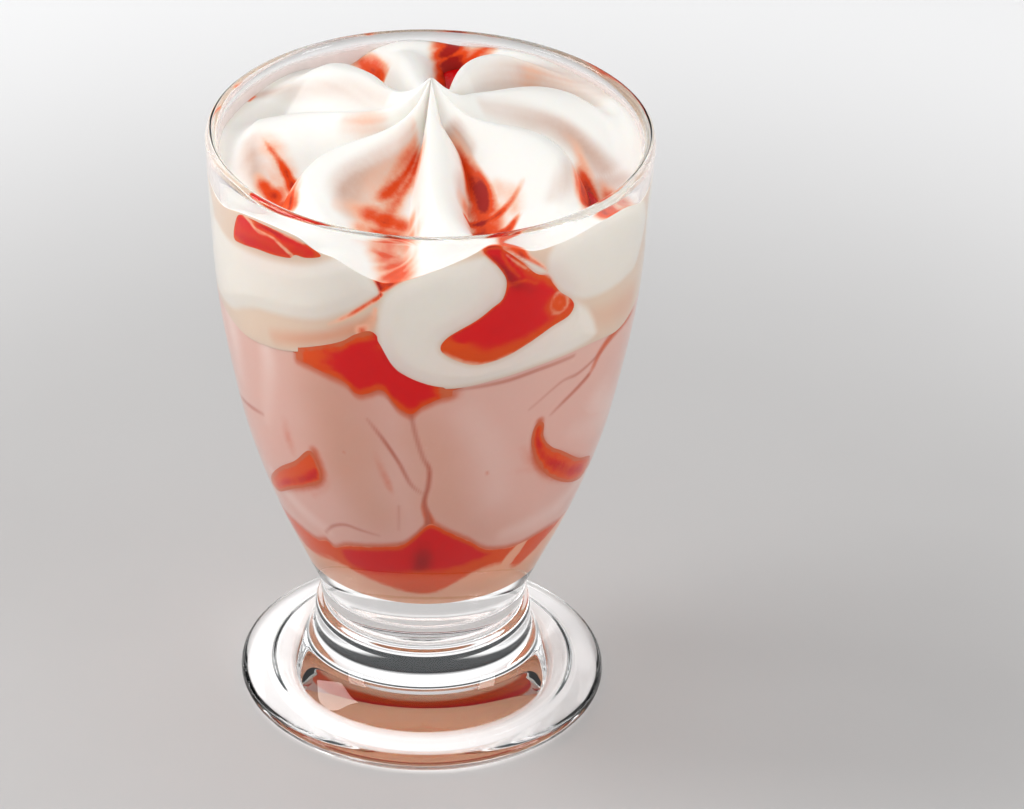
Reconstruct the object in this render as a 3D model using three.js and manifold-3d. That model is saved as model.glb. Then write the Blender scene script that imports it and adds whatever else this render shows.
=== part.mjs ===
// A strawberry sundae in a footed glass: sauce, ice cream, more sauce and a piped swirl of whipped cream.
// Millimetres, +Z up. The origin is the middle of the foot, on the surface that the glass stands on.
// Angles round the glass are in degrees: 0 is the front (-Y), 90 is the right side (+X).
import * as THREE from 'three';
import { mergeVertices } from 'three/addons/utils/BufferGeometryUtils.js';
import Module from 'manifold-3d';

const wasm = await Module();
wasm.setup();

// ---- Driving dimensions ----

const glassHeight = 110;
const wallThickness = 2.0;
const bowlBottom = 25.5; // inside, on the axis
const bowlRounding = 9.5; // height over which the inside rounds into its bottom
const contentsGap = 0.3; // between the glass and what fills it
const layerGap = 0.3; // between one layer and the next
const creamPeak = 120.5;
const lipHeight = 1.2; // the rounded top of the wall

// Outer radius of the bowl at some heights.
const bowlStations = [
  [21.6, 18.3], [29.4, 21.8], [39.4, 26.1], [49.4, 29.7], [59.3, 32.4], [79.3, 36.0], [99.2, 37.5],
  [108.8, 38.0],
];

// The foot and stem, from the underside's middle out and up to the bowl, as [radius, height].
const footProfile = [
  [0, 1.5], [23.5, 1.5], [26, 0], [30.6, 0], [32, 0.8], [32.4, 2.1], [31.8, 3.4],
  [26.5, 4.9], [22.8, 6.2], [20.5, 8.2], [19.3, 11], [19.1, 15.2], [17.7, 17],
  [17.7, 17.7], [18.2, 18.3], [18.2, 21],
];

// Height where each layer meets the glass, as [angle, height], all the way round.
const sauceBottomTop = [
  [-165, 42], [-140, 39.5], [-115, 41.5], [-90, 41], [-60, 38.6], [-40, 39.2], [-27, 42.3], [-9, 44.4],
  [-2, 47.4], [2.5, 49.6], [8, 47.6], [17, 43.8], [26, 41.4], [45, 41.6], [70, 42.5], [95, 39.5],
  [125, 43.5], [150, 41], [166, 44.5], [177, 48.5],
];
const creamFoot = [
  [-165, 86], [-150, 88], [-130, 82.5], [-105, 84], [-80, 81.5], [-60, 80.2], [-45, 82.5], [-30, 86],
  [-20, 88.8], [-14, 90], [-9, 84.6], [-3, 81.6], [6, 80.3], [20, 81.4], [34, 82.4], [50, 83],
  [66, 81], [90, 83.5], [115, 80.8], [140, 86], [160, 88.5], [177, 83],
];
const middleSauceDepth = [
  [-170, 6.5], [-152, 3], [-132, 0.9], [-90, 0.9], [-44, 0.9], [-35, 3.4], [-25, 7.2], [-18, 11.2],
  [-13, 11.8], [-9, 7.8], [-5, 7], [-1, 3], [4, 1], [20, 0.9], [60, 0.9], [100, 0.9], [138, 0.9],
  [150, 3.4], [165, 8.5],
];
const creamContact = [
  [-170, 108], [-163, 106.2], [-156, 103.8], [-147, 105], [-136, 105.4], [-122, 104.4], [-110, 104.6],
  [-97, 105.4], [-82, 103], [-68, 101.4], [-55, 100.6], [-42, 101.4], [-31, 103.2], [-22, 103.8],
  [-12.5, 100.8], [-6, 101.6], [2, 104], [14, 106], [24, 104.2], [34, 105.2], [48, 106.4], [60, 106],
  [72, 103.8], [88, 105.6], [104, 106.4], [124, 105], [140, 106.2], [154, 106.8], [164, 104.8],
  [172, 103.2], [182, 105.8],
];

// The swirl's petals. crest and groove are the angles of a petal's ridge and of the groove that follows it:
// at the neck, half way out and at the glass. depth scales the groove. plump gives the curve of the slopes
// before and after the ridge, from 1, straight, to 3, round with a steep side.
const swirlRadii = [4, 20, 35.7];
const petals = {
  front: { crest: [2, -4, 17], groove: [34, 30, 22], depth: 1.0, plump: [2.4, 2.6] },
  frontRight: { crest: [43, 80, 44], groove: [75, 107, 70], depth: 1.05, plump: [1.4, 2.6] },
  right: { crest: [100, 132, 98], groove: [118, 148, 128], depth: 0.8, plump: [1.5, 2.4] },
  backRight: { crest: [135, 158, 143], groove: [158, 172, 172], depth: 0.95, plump: [1.5, 2.2] },
  back: { crest: [182, 191, 190], groove: [208, 203, 203], depth: 0.75, plump: [2, 2] },
  backLeft: { crest: [232, 216, 222], groove: [258, 238, 240], depth: 0.5, plump: [2.2, 1.5] },
  left: { crest: [285, 260, 264], groove: [316, 292, 305], depth: 0.95, plump: [1.5, 2.2] },
  frontLeft: { crest: [328, 306, 327], groove: [342, 342, 347], depth: 1.0, plump: [3, 1.3] },
};

// Pockets of sauce pressed against the glass, each an outline of [angle, height] with a depth inwards.
const frontPocket = {
  depth: 8,
  taper: 0.45,
  outline: [
    [17, 106.5], [22.5, 104.8], [32, 99.3], [40, 94], [38.5, 90.6], [26, 87.3], [13, 85.6], [5, 86.6],
    [4.5, 89.4], [13.8, 93.8], [19.6, 98], [19.4, 103],
  ],
};
const leftPocket = {
  depth: 6,
  taper: 0.45,
  outline: [[-60, 104.4], [-62, 99], [-50, 99.6], [-38, 101], [-30, 103.4], [-34, 104.8], [-47, 105.2]],
};
const backPocket = {
  depth: 7,
  taper: 0.3,
  outline: [[128, 103], [140, 100], [147, 96], [141, 91.5], [126, 91], [115, 94.5], [119, 98.5], [127, 99.5]],
};
const leftWedge = {
  depth: 4,
  taper: 0,
  outline: [[-37, 60.5], [-35.5, 56], [-47, 53.4], [-61, 48.6], [-50, 55.2]],
};
const rightCrescent = {
  depth: 4,
  taper: 0,
  outline: [
    [32, 69.6], [34.8, 69], [36.6, 64.4], [45, 59.4], [60, 55], [68, 53.8], [68, 50.6], [57, 51.4],
    [42, 55.6], [34, 61.6],
  ],
};
const backStreak = {
  depth: 4,
  taper: 0,
  outline: [[193, 67], [199, 66], [203, 62], [214, 58.6], [228, 57.6], [228, 55], [212, 54.4], [198, 58]],
};

// Pools of sauce lying in the groove after a petal: radii of the two ends, half width, level of the top
// in the middle, and how much the level falls for each millimetre outwards.
const pools = {
  front: { petal: 'front', from: 10, to: 35, across: 3.4, level: 105.9, fall: 0.1 },
  right: { petal: 'frontRight', from: 25, to: 36, across: 3.6, level: 105, fall: 0.06 },
  back: { petal: 'backRight', from: 12, to: 34, across: 4.6, level: 106.6, fall: 0.06 },
  left: { petal: 'left', from: 18, to: 36, across: 4, level: 105.2, fall: 0.06 },
};

// Fineness of the facets.
const layerSectors = 80;
const glassSectors = 48;
const undersideShares = [0.75];
const iceCreamShares = [0.5, 0.8];
const sideSteps = { sauce: 1, iceCream: 5, cream: 2 };
const weldDistance = 1e-5;
const creamRadii = [0.8, 1.9, 3.4, 5.4, 8.2, 11.6, 15.4, 19.4, 23.2, 26.8, 30, 33];

// ---- Curves ----

const degree = Math.PI / 180;

function mix(a, b, t) {
  return a + (b - a) * t;
}

function smooth(low, high, x) {
  const t = Math.min(Math.max((x - low) / (high - low), 0), 1);
  return t * t * (3 - 2 * t);
}

// A smooth curve through [x, y] stations; with a period it closes on itself.
function throughStations(stations, period = 0) {
  const count = stations.length;
  function station(i) {
    if (!period) {
      return stations[Math.min(Math.max(i, 0), count - 1)];
    }
    const turns = Math.floor(i / count);
    const [x, y] = stations[i - turns * count];
    return [x + turns * period, y];
  }
  function slope(i) {
    const [before, after] = [station(i - 1), station(i + 1)];
    return (after[1] - before[1]) / (after[0] - before[0]);
  }
  return (x) => {
    const start = stations[0][0];
    const at = period ? start + ((((x - start) % period) + period) % period) : x;
    let i = 0;
    while (i < count - 1 && station(i + 1)[0] < at) {
      i += 1;
    }
    i = period ? i : Math.min(i, count - 2);
    const [x0, y0] = station(i);
    const [x1, y1] = station(i + 1);
    const span = x1 - x0;
    const t = Math.min(Math.max((at - x0) / span, 0), 1);
    const rise = y0 * (1 + 2 * t) * (1 - t) ** 2 + y1 * t * t * (3 - 2 * t);
    return rise + span * t * (1 - t) * (slope(i) * (1 - t) - slope(i + 1) * t);
  };
}

// The curve through three values at the swirl's three radii.
function alongSwirl([neck, middle, glass]) {
  const [r0, r1, r2] = swirlRadii;
  return (radius) => {
    const r = Math.max(radius, r0);
    return (
      (neck * (r - r1) * (r - r2)) / ((r0 - r1) * (r0 - r2)) +
      (middle * (r - r0) * (r - r2)) / ((r1 - r0) * (r1 - r2)) +
      (glass * (r - r0) * (r - r1)) / ((r2 - r0) * (r2 - r1))
    );
  };
}

const bowlRadius = throughStations(bowlStations);

// Radius of the bowl's inside at a height.
function innerRadius(z) {
  const short = Math.min(Math.max((bowlBottom + bowlRounding - z) / bowlRounding, 0), 1);
  return (bowlRadius(z) - wallThickness) * Math.sqrt(1 - short * short);
}

// Heights at which the inside's rounding has its facets.
const roundingHeights = [20, 40, 60, 80].map(
  (turn) => bowlBottom + bowlRounding * (1 - Math.cos(turn * degree)),
);

// Radius at a height of what fills the bowl.
function fillRadius(z) {
  return innerRadius(z - contentsGap) - contentsGap;
}

function place(angle, radius, z) {
  return new THREE.Vector3(radius * Math.sin(angle * degree), -radius * Math.cos(angle * degree), z);
}

// ---- Surfaces between the layers, as height at a share of the way out (0 to 1) and an angle ----

const sauceBottomEdge = throughStations(sauceBottomTop, 360);
const creamFootEdge = throughStations(creamFoot, 360);
const middleSauceEdge = throughStations(middleSauceDepth, 360);
const creamContactEdge = throughStations(creamContact, 360);

const sauceBottomMiddle = 36; // the ice cream sinks lower in the middle than at the glass
const iceCreamMiddle = 84;
const middleSauceMiddle = 3;

function sauceBottomSurface(share, angle) {
  return mix(sauceBottomMiddle, sauceBottomEdge(angle), share ** 3);
}

function creamFootSurface(share, angle) {
  return mix(iceCreamMiddle + middleSauceMiddle, creamFootEdge(angle), share ** 2);
}

function iceCreamSurface(share, angle) {
  return creamFootSurface(share, angle) - mix(middleSauceMiddle, middleSauceEdge(angle), share ** 4);
}

// ---- The swirl of whipped cream ----

const petalSpan = 45; // degrees from one ridge to the next where the columns are even
const columnStart = 4.5;
const neckWidth = 5; // how fast the swirl spreads below its peak
const crestFall = { neck: 7.5, side: 8 }; // below the peak: round the neck, and from there to the glass
const grooveFall = { neck: 14.5, side: 6 };
const swirlWidth = 36;
const tipRadius = 1.2; // the petals run together inside it, fading out by the radius tipReach
const tipReach = 6;

function fallingHeight(radius, fall) {
  const neckDrop = fall.neck * (1 - Math.exp(-radius / neckWidth));
  const sideDrop = fall.side * (radius / swirlWidth) ** 2;
  return creamPeak - neckDrop - sideDrop;
}

const petalCurves = Object.values(petals).map((petal) => ({
  ...petal,
  crest: alongSwirl(petal.crest),
  groove: alongSwirl(petal.groove),
}));
const contactStart = 28.5; // radius from which the cream turns down to the glass
const contactRadius = fillRadius(104);

// A point on top of the cream, moved up by lift. Columns of points run along the ridges and grooves, and
// become even at the glass.
function creamPoint(radius, columnAngle, lift) {
  const angle = columnAngle < columnStart ? columnAngle + 360 : columnAngle;
  const index = Math.floor((angle - columnStart) / petalSpan);
  const across = (angle - columnStart) / petalSpan - index;
  const petal = petalCurves[index];
  const next = petalCurves[(index + 1) % petalCurves.length];
  const r = Math.hypot(radius, tipRadius * (1 - smooth(0, tipReach, radius)));
  const nextCrest = next.crest(r) + (next === petalCurves[0] ? 360 : 0);
  const groove = petal.groove(r);
  const afterCrest = across < 0.5;
  const swirlAngle = afterCrest
    ? mix(petal.crest(r), groove, 2 * across)
    : mix(groove, nextCrest, 2 * across - 1);
  const fromCrest = afterCrest ? 2 * across : 2 - 2 * across;
  const ridge = 1 - petal.depth * fromCrest ** (afterCrest ? petal.plump[1] : next.plump[0]);
  const swirl = mix(fallingHeight(r, grooveFall), fallingHeight(r, crestFall), ridge);
  const settled = smooth(contactStart, contactRadius, radius);
  const height = mix(swirl, creamContactEdge(angle), settled) + lift;
  return place(mix(swirlAngle, angle, settled), radius, height);
}

// ---- Solids ----

// A closed solid of rings: rings[i](angle) gives a point, and the first and last rings are single points.
// Two solids that share a surface split its facets alike, whichever way round their rings run.
function ringSolid(rings) {
  const sectors = layerSectors;
  const positions = [];
  const faces = [];
  const rows = rings.map((ring, level) => {
    const single = level === 0 || level === rings.length - 1;
    const start = positions.length / 3;
    for (let i = 0; i < (single ? 1 : sectors); i += 1) {
      positions.push(...ring((i * 360) / sectors).toArray());
    }
    return (i) => (single ? start : start + (i % sectors));
  });
  const reach = (index) => Math.hypot(positions[3 * index], positions[3 * index + 1]);
  for (let level = 0; level < rows.length - 1; level += 1) {
    const [lower, upper] = [rows[level], rows[level + 1]];
    const outwards = reach(upper(0)) > reach(lower(0));
    for (let i = 0; i < sectors; i += 1) {
      const [a, b, c, d] = [lower(i), lower(i + 1), upper(i + 1), upper(i)];
      const halves = outwards ? [[a, b, c], [a, c, d]] : [[a, b, d], [b, c, d]];
      for (const half of halves) {
        if (new Set(half).size === 3) {
          faces.push(...half);
        }
      }
    }
  }
  const geometry = new THREE.BufferGeometry();
  geometry.setAttribute('position', new THREE.Float32BufferAttribute(positions, 3));
  geometry.setIndex(faces);
  return geometry;
}

// Rings over a surface between two layers, from the middle out, moved up by lift.
function surfaceRings(surface, shares, lift) {
  const spread = shares.map((share) => (angle) => {
    const radius = share * fillRadius(surface(1, angle));
    return place(angle, radius, surface(share, angle) + lift);
  });
  return [() => new THREE.Vector3(0, 0, surface(0, 0) + lift), ...spread];
}

// Rings up the glass between two heights that vary with the angle.
function sideRings(low, high, steps) {
  return Array.from({ length: steps + 1 }, (_, step) => (angle) => {
    const z = mix(low(angle), high(angle), step / steps);
    return place(angle, fillRadius(z), z);
  });
}

// A layer of the glass's contents: its underside, the side along the glass, then its top.
function layerSolid(bottom, bottomShares, top, topShares, steps) {
  const low = (angle) => bottom(1, angle) + layerGap / 2;
  const high = (angle) => top(1, angle) - layerGap / 2;
  return ringSolid([
    ...surfaceRings(bottom, bottomShares, layerGap / 2),
    ...sideRings(low, high, steps),
    ...surfaceRings(top, topShares, -layerGap / 2).reverse(),
  ]);
}

function toManifold(geometry) {
  const bare = geometry.clone();
  bare.deleteAttribute('normal');
  bare.deleteAttribute('uv');
  const merged = mergeVertices(bare, weldDistance);
  return new wasm.Manifold(new wasm.Mesh({
    numProp: 3,
    vertProperties: new Float32Array(merged.attributes.position.array),
    triVerts: new Uint32Array(merged.index.array),
  }));
}

function toGeometry(solid) {
  const mesh = solid.getMesh();
  const geometry = new THREE.BufferGeometry();
  geometry.setAttribute('position', new THREE.Float32BufferAttribute(mesh.vertProperties, 3));
  geometry.setIndex(new THREE.Uint32BufferAttribute(mesh.triVerts, 1));
  return geometry;
}

function glassGeometry() {
  const points = footProfile.map(([r, z]) => new THREE.Vector2(r, z));
  const outsideHeights = [21.8, 26, 32, 39, 47, 56, 67, 80, 94, glassHeight - lipHeight];
  for (const z of outsideHeights) {
    points.push(new THREE.Vector2(bowlRadius(z), z));
  }
  const lipMiddle = bowlRadius(glassHeight) - wallThickness / 2;
  for (const turn of [45, 90, 135]) {
    const r = lipMiddle + (wallThickness / 2) * Math.cos(turn * degree);
    points.push(new THREE.Vector2(r, glassHeight - lipHeight * (1 - Math.sin(turn * degree))));
  }
  const insideHeights = [glassHeight - lipHeight, 92, 78, 66, 56, 47, 40];
  for (const z of [...insideHeights, ...roundingHeights.toReversed()]) {
    points.push(new THREE.Vector2(innerRadius(z), z));
  }
  points.push(new THREE.Vector2(0, bowlBottom));
  const turned = new THREE.LatheGeometry(points, glassSectors);
  turned.rotateX(90 * degree);
  return turned;
}

function sauceBottomGeometry() {
  const low = bowlBottom + contentsGap;
  const heights = roundingHeights.map((z) => z + contentsGap);
  const sideStart = () => low + bowlRounding;
  const sideEnd = (angle) => sauceBottomEdge(angle) - layerGap / 2;
  return ringSolid([
    () => new THREE.Vector3(0, 0, low),
    ...heights.map((z) => (angle) => place(angle, fillRadius(z), z)),
    ...sideRings(sideStart, sideEnd, sideSteps.sauce),
    ...surfaceRings(sauceBottomSurface, undersideShares, -layerGap / 2).reverse(),
  ]);
}

function creamSolid(lift) {
  const low = (angle) => creamFootEdge(angle) + layerGap / 2;
  const high = (angle) => creamContactEdge(angle) + lift;
  const topRings = creamRadii.map((radius) => (angle) => creamPoint(radius, angle, lift));
  return toManifold(ringSolid([
    ...surfaceRings(creamFootSurface, undersideShares, layerGap / 2),
    ...sideRings(low, high, sideSteps.cream),
    ...topRings.reverse(),
    () => new THREE.Vector3(0, 0, creamPeak + lift),
  ]));
}

const poolRise = 0.5; // how far a pool's top bulges
const poolDepth = 5; // how far its rough solid reaches down into the cream
const pocketOverrun = 4; // how far a pocket's rough solid reaches past the glass's inside

// A pocket of sauce against the glass: its outline on the wall, narrowing towards a smaller one inside.
function pocketSolid({ outline, depth, taper }, grow = 0) {
  const corners = outline.map(([angle, z]) => new THREE.Vector3(angle * degree * fillRadius(z), z, 0));
  const curve = new THREE.CatmullRomCurve3(corners, true, 'centripetal');
  const steps = outline.length * 2;
  const points = curve.getPoints(steps).slice(0, steps);
  if (THREE.ShapeUtils.area(points) < 0) {
    points.reverse();
  }
  const middle = points.reduce((sum, p) => sum.add(p), new THREE.Vector3()).divideScalar(steps);
  const grown = points.map((p, i) => {
    const along = points[(i + 1) % steps].clone().sub(points[(i + steps - 1) % steps]).normalize();
    return new THREE.Vector2(p.x + along.y * grow, p.y - along.x * grow);
  });
  const sink = (p, share, inwards) => {
    const x = mix(middle.x, p.x, share);
    const z = mix(middle.y, p.y, share);
    return place(x / fillRadius(z) / degree, fillRadius(z) - inwards, z);
  };
  // Each slice is a share of the outline's size and a depth.
  const slices = [
    [1, -pocketOverrun],
    [1, depth * 0.35],
    [1 - taper * 0.4, depth * 0.75],
    [1 - taper, depth],
  ];
  const positions = [];
  const faces = [];
  for (const [share, inwards] of slices) {
    for (const p of grown) {
      positions.push(...sink(p, share, inwards + (inwards > 0 ? grow : 0)).toArray());
    }
  }
  for (let slice = 0; slice < slices.length - 1; slice += 1) {
    for (let i = 0; i < steps; i += 1) {
      const [a, b] = [slice * steps + i, slice * steps + ((i + 1) % steps)];
      faces.push(a, a + steps, b, b, a + steps, b + steps);
    }
  }
  const cap = THREE.ShapeUtils.triangulateShape(points, []);
  const last = (slices.length - 1) * steps;
  for (const [a, b, c] of cap) {
    faces.push(a, b, c);
    faces.push(last + a, last + c, last + b);
  }
  const geometry = new THREE.BufferGeometry();
  geometry.setAttribute('position', new THREE.Float32BufferAttribute(positions, 3));
  geometry.setIndex(faces);
  return toManifold(geometry);
}

// A pool of sauce along a groove: a long lens, out of which the cream below it is then cut.
function poolSolid({ petal, from, to, across, level, fall }) {
  const { groove } = petalCurves[Object.keys(petals).indexOf(petal)];
  const lens = new THREE.SphereGeometry(1, 16, 8);
  lens.rotateX(90 * degree);
  const points = lens.attributes.position;
  for (let i = 0; i < points.count; i += 1) {
    const [x, y, z] = [points.getX(i), points.getY(i), points.getZ(i)];
    const out = (y * (to - from)) / 2;
    const radius = (from + to) / 2 + out;
    const spot = place(groove(radius), radius, level - fall * out + z * (z > 0 ? poolRise : poolDepth));
    spot.add(place(groove(radius) - 90, x * across, 0));
    points.setXYZ(i, spot.x, spot.y, spot.z);
  }
  return toManifold(lens);
}

// The room inside the glass.
function fillingSolid() {
  const heights = [40, 46, 52, 58, 64, 70, 77, 84, 91, 98, 103, 109];
  return toManifold(ringSolid([
    () => new THREE.Vector3(0, 0, heights[0]),
    ...heights.map((z) => (angle) => place(angle, fillRadius(z), z)),
    () => new THREE.Vector3(0, 0, 2 * glassHeight),
  ]));
}

// The main body of a solid, without loose scraps and sealed hollows.
function mainBody(solid) {
  return solid.decompose().reduce((best, piece) => (piece.volume() > best.volume() ? piece : best));
}

// ---- Assembly ----

const group = new THREE.Group();

function addPart(name, geometry, finish) {
  const mesh = new THREE.Mesh(geometry, new THREE.MeshStandardMaterial({ ...finish, metalness: 0 }));
  mesh.name = name;
  group.add(mesh);
}

const glassFinish = { color: '#e8eef0', roughness: 0.05 };
const sauceFinish = { color: '#b3161a', roughness: 0.2 };
const iceCreamFinish = { color: '#cf9d92', roughness: 0.6 };
const creamFinish = { color: '#f6f2ec', roughness: 0.55 };

function addSauce(name, solid) {
  addPart(name, toGeometry(mainBody(solid)), sauceFinish);
}

addPart('glass', glassGeometry(), glassFinish);
addPart('sauce_bottom', sauceBottomGeometry(), sauceFinish);

const filling = fillingSolid();
const pocketsInIceCream = {
  sauce_wedge_left: leftWedge,
  sauce_crescent_right: rightCrescent,
  sauce_streak_back: backStreak,
};
const iceCreamLayer = layerSolid(
  sauceBottomSurface, undersideShares, iceCreamSurface, iceCreamShares, sideSteps.iceCream,
);
let iceCream = toManifold(iceCreamLayer);
for (const [name, pocket] of Object.entries(pocketsInIceCream)) {
  iceCream = iceCream.subtract(pocketSolid(pocket, layerGap));
  addSauce(name, pocketSolid(pocket).intersect(filling));
}
addPart('ice_cream', toGeometry(mainBody(iceCream)), iceCreamFinish);

const middleSauce = layerSolid(
  iceCreamSurface, iceCreamShares, creamFootSurface, undersideShares, sideSteps.sauce,
);
addPart('sauce_middle', middleSauce, sauceFinish);

let cream = creamSolid(0);
let creamWithGap = creamSolid(layerGap);
for (const pocket of [frontPocket, leftPocket, backPocket]) {
  const room = pocketSolid(pocket, layerGap);
  cream = cream.subtract(room);
  creamWithGap = creamWithGap.subtract(room);
}
addPart('whipped_cream', toGeometry(mainBody(cream)), creamFinish);

const pool = (name) => poolSolid(pools[name]).subtract(creamWithGap).intersect(filling);
addSauce('sauce_front', pocketSolid(frontPocket).add(pool('front')).intersect(filling));
addSauce('sauce_left', pocketSolid(leftPocket).add(pool('left')).intersect(filling));
addSauce('sauce_pocket_back', pocketSolid(backPocket).intersect(filling));
addSauce('sauce_pool_right', pool('right'));
addSauce('sauce_pool_back', pool('back'));

export default group;
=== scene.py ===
import math

import bpy
import numpy as np
from mathutils import Matrix, Vector
from mathutils.geometry import delaunay_2d_cdt


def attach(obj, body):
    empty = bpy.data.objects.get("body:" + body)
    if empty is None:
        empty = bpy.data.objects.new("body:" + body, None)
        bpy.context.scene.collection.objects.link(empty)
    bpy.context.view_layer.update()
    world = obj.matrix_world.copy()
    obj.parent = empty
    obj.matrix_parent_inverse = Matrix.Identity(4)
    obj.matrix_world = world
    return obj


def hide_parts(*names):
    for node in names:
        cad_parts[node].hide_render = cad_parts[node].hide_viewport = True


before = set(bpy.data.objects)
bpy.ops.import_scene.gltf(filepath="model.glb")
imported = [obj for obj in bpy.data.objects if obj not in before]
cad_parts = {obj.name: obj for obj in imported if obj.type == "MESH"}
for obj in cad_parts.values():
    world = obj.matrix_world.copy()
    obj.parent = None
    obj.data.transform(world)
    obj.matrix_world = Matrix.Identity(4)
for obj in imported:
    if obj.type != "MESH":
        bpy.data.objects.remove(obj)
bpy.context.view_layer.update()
print("frame loaded, nodes:", len(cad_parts))

mm = 0.001  # sizes below are in millimetres, angles in degrees: 0 is the front (-Y), 90 the right (+X)
tiny = 1e-6  # stands in for zero where something is divided by it, and merges spots that coincide

view = {
    "aim": 53.59,  # height that the camera looks at
    "distance": 841.75,
    "elevation": 31.46,
    "lens": 169.74,
    "sensor": 36.0,
    "roll": 0.95,
    "shift": (0.084, 0.0109),
    "clip": (50.0, 50000.0),
    "transform": "Standard",
    "look": "Medium High Contrast",
}


def lookAt(thing, spot, target, roll=0.0):
    turn = (Vector(target) - Vector(spot)).to_track_quat("-Z", "Y").to_matrix()
    thing.location = spot
    thing.rotation_euler = (turn @ Matrix.Rotation(math.radians(roll), 3, "Z")).to_euler()


def placeCamera():
    data = bpy.data.cameras.new("camera")
    data.sensor_width = view["sensor"]
    data.lens = view["lens"]
    data.shift_x, data.shift_y = view["shift"]
    data.clip_start, data.clip_end = (far * mm for far in view["clip"])
    camera = bpy.data.objects.new("camera", data)
    bpy.context.collection.objects.link(camera)
    rise = math.radians(view["elevation"])
    spot = (
        0.0,
        -view["distance"] * math.cos(rise) * mm,
        (view["aim"] + view["distance"] * math.sin(rise)) * mm,
    )
    lookAt(camera, spot, (0.0, 0.0, view["aim"] * mm), view["roll"])
    bpy.context.scene.camera = camera
    bpy.context.scene.view_settings.view_transform = view["transform"]
    bpy.context.scene.view_settings.look = view["look"]


placeCamera()
print("camera placed")


def tone(red, green, blue):  # a colour as a screen shows it, each part from 0 to 255
    return tuple(
        c / 12.92 if c <= 0.04045 else ((c + 0.055) / 1.055) ** 2.4
        for c in (red / 255, green / 255, blue / 255)
    ) + (1.0,)


class Wire:  # a socket that can be added, multiplied and so on
    def __init__(self, finish, socket):
        self.finish = finish
        self.socket = socket

    def reckon(self, operation, first, second):
        return self.finish.node("ShaderNodeMath", {"operation": operation}, {0: first, 1: second})

    def __add__(self, other):
        return self.reckon("ADD", self, other)

    def __radd__(self, other):
        return self.reckon("ADD", other, self)

    def __sub__(self, other):
        return self.reckon("SUBTRACT", self, other)

    def __rsub__(self, other):
        return self.reckon("SUBTRACT", other, self)

    def __mul__(self, other):
        return self.reckon("MULTIPLY", self, other)

    def __rmul__(self, other):
        return self.reckon("MULTIPLY", other, self)

    def atMost(self, other):
        return self.reckon("MINIMUM", self, other)


class Finish:  # a material, or the light of the surroundings, while its nodes are put together
    def __init__(self, name, surroundings=False):
        self.end = "ShaderNodeOutputWorld" if surroundings else "ShaderNodeOutputMaterial"
        self.owner = (bpy.data.worlds if surroundings else bpy.data.materials).new(name)
        self.owner.use_nodes = True
        self.tree = self.owner.node_tree
        self.tree.nodes.clear()

    def node(self, kind, settings=None, sockets=None, out=0):
        made = self.tree.nodes.new(kind)
        for key, value in (settings or {}).items():
            if key == "stops":
                self.setStops(made.color_ramp.elements, value)
            else:
                setattr(made, key, value)
        for key, value in (sockets or {}).items():
            if isinstance(value, Wire):
                self.tree.links.new(value.socket, made.inputs[key])
            else:
                made.inputs[key].default_value = value
        return Wire(self, made.outputs[out]) if made.outputs else None

    def setStops(self, ramp, stops):  # a new ramp has two stops already
        for i, (position, colour) in enumerate(stops):
            stop = ramp[i] if i < 2 else ramp.new(position)
            stop.position = position
            stop.color = colour + (1.0,)

    def field(self, name):
        return self.node("ShaderNodeAttribute", {"attribute_name": name}, out="Fac")

    def noise(self, size, detail=2.0, roughness=0.5):  # size of the spots in mm
        spots = self.node("ShaderNodeTexCoord", out="Object")
        spots = self.node(
            "ShaderNodeVectorMath", {"operation": "MULTIPLY"}, {0: spots, 1: (1 / (size * mm),) * 3}
        )
        return self.node(
            "ShaderNodeTexNoise", {},
            {"Vector": spots, "Scale": 1.0, "Detail": detail, "Roughness": roughness},
        )

    def fade(self, value, low, high):
        return self.node(
            "ShaderNodeMapRange", {"interpolation_type": "SMOOTHSTEP"},
            {"Value": value, "From Min": low, "From Max": high},
        )

    def blend(self, share, first, second):
        return self.node(
            "ShaderNodeMix", {"data_type": "RGBA"}, {0: share, 6: first, 7: second}, out=2
        )

    def bump(self, height, distance, strength):
        return self.node(
            "ShaderNodeBump", {},
            {"Height": height, "Distance": distance * mm, "Strength": strength}, out="Normal",
        )

    def done(self, surface):
        self.node(self.end, {}, {"Surface": surface})
        return self.owner

    def coated(self, surface, **varying):  # surface holds what is the same all over
        return self.done(self.node("ShaderNodeBsdfPrincipled", {}, {**surface, **varying}))


def mix(a, b, t):
    return a + (b - a) * t


def smooth(low, high, x):  # from 0 at low to 1 at high, level at both ends
    t = np.clip((x - low) / (high - low), 0.0, 1.0)
    return t * t * (3 - 2 * t)


def fadeOut(x, low, high, strength=1.0):
    return strength * (1 - smooth(low, high, x))


def throughStations(stations, period=0):  # a smooth curve through (x, y) stations
    x, y = (np.array(column, float) for column in zip(*stations))
    first = x[0]
    if period:
        x = np.concatenate([x[-2:] - period, x, x[:3] + period])
        y = np.concatenate([y[-2:], y, y[:3]])
    slopes = np.empty_like(y)
    slopes[1:-1] = (y[2:] - y[:-2]) / (x[2:] - x[:-2])
    slopes[0] = (y[1] - y[0]) / (x[1] - x[0])
    slopes[-1] = (y[-1] - y[-2]) / (x[-1] - x[-2])

    def curve(at):
        at = np.asarray(at, float)
        if period:
            at = first + np.mod(at - first, period)
        i = np.clip(np.searchsorted(x, at, side="right") - 1, 0, len(x) - 2)
        span = x[i + 1] - x[i]
        t = np.clip((at - x[i]) / span, 0.0, 1.0)
        level = y[i] * (1 + 2 * t) * (1 - t) ** 2 + y[i + 1] * t * t * (3 - 2 * t)
        return level + span * t * (1 - t) * (slopes[i] * (1 - t) - slopes[i + 1] * t)

    return curve


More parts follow.
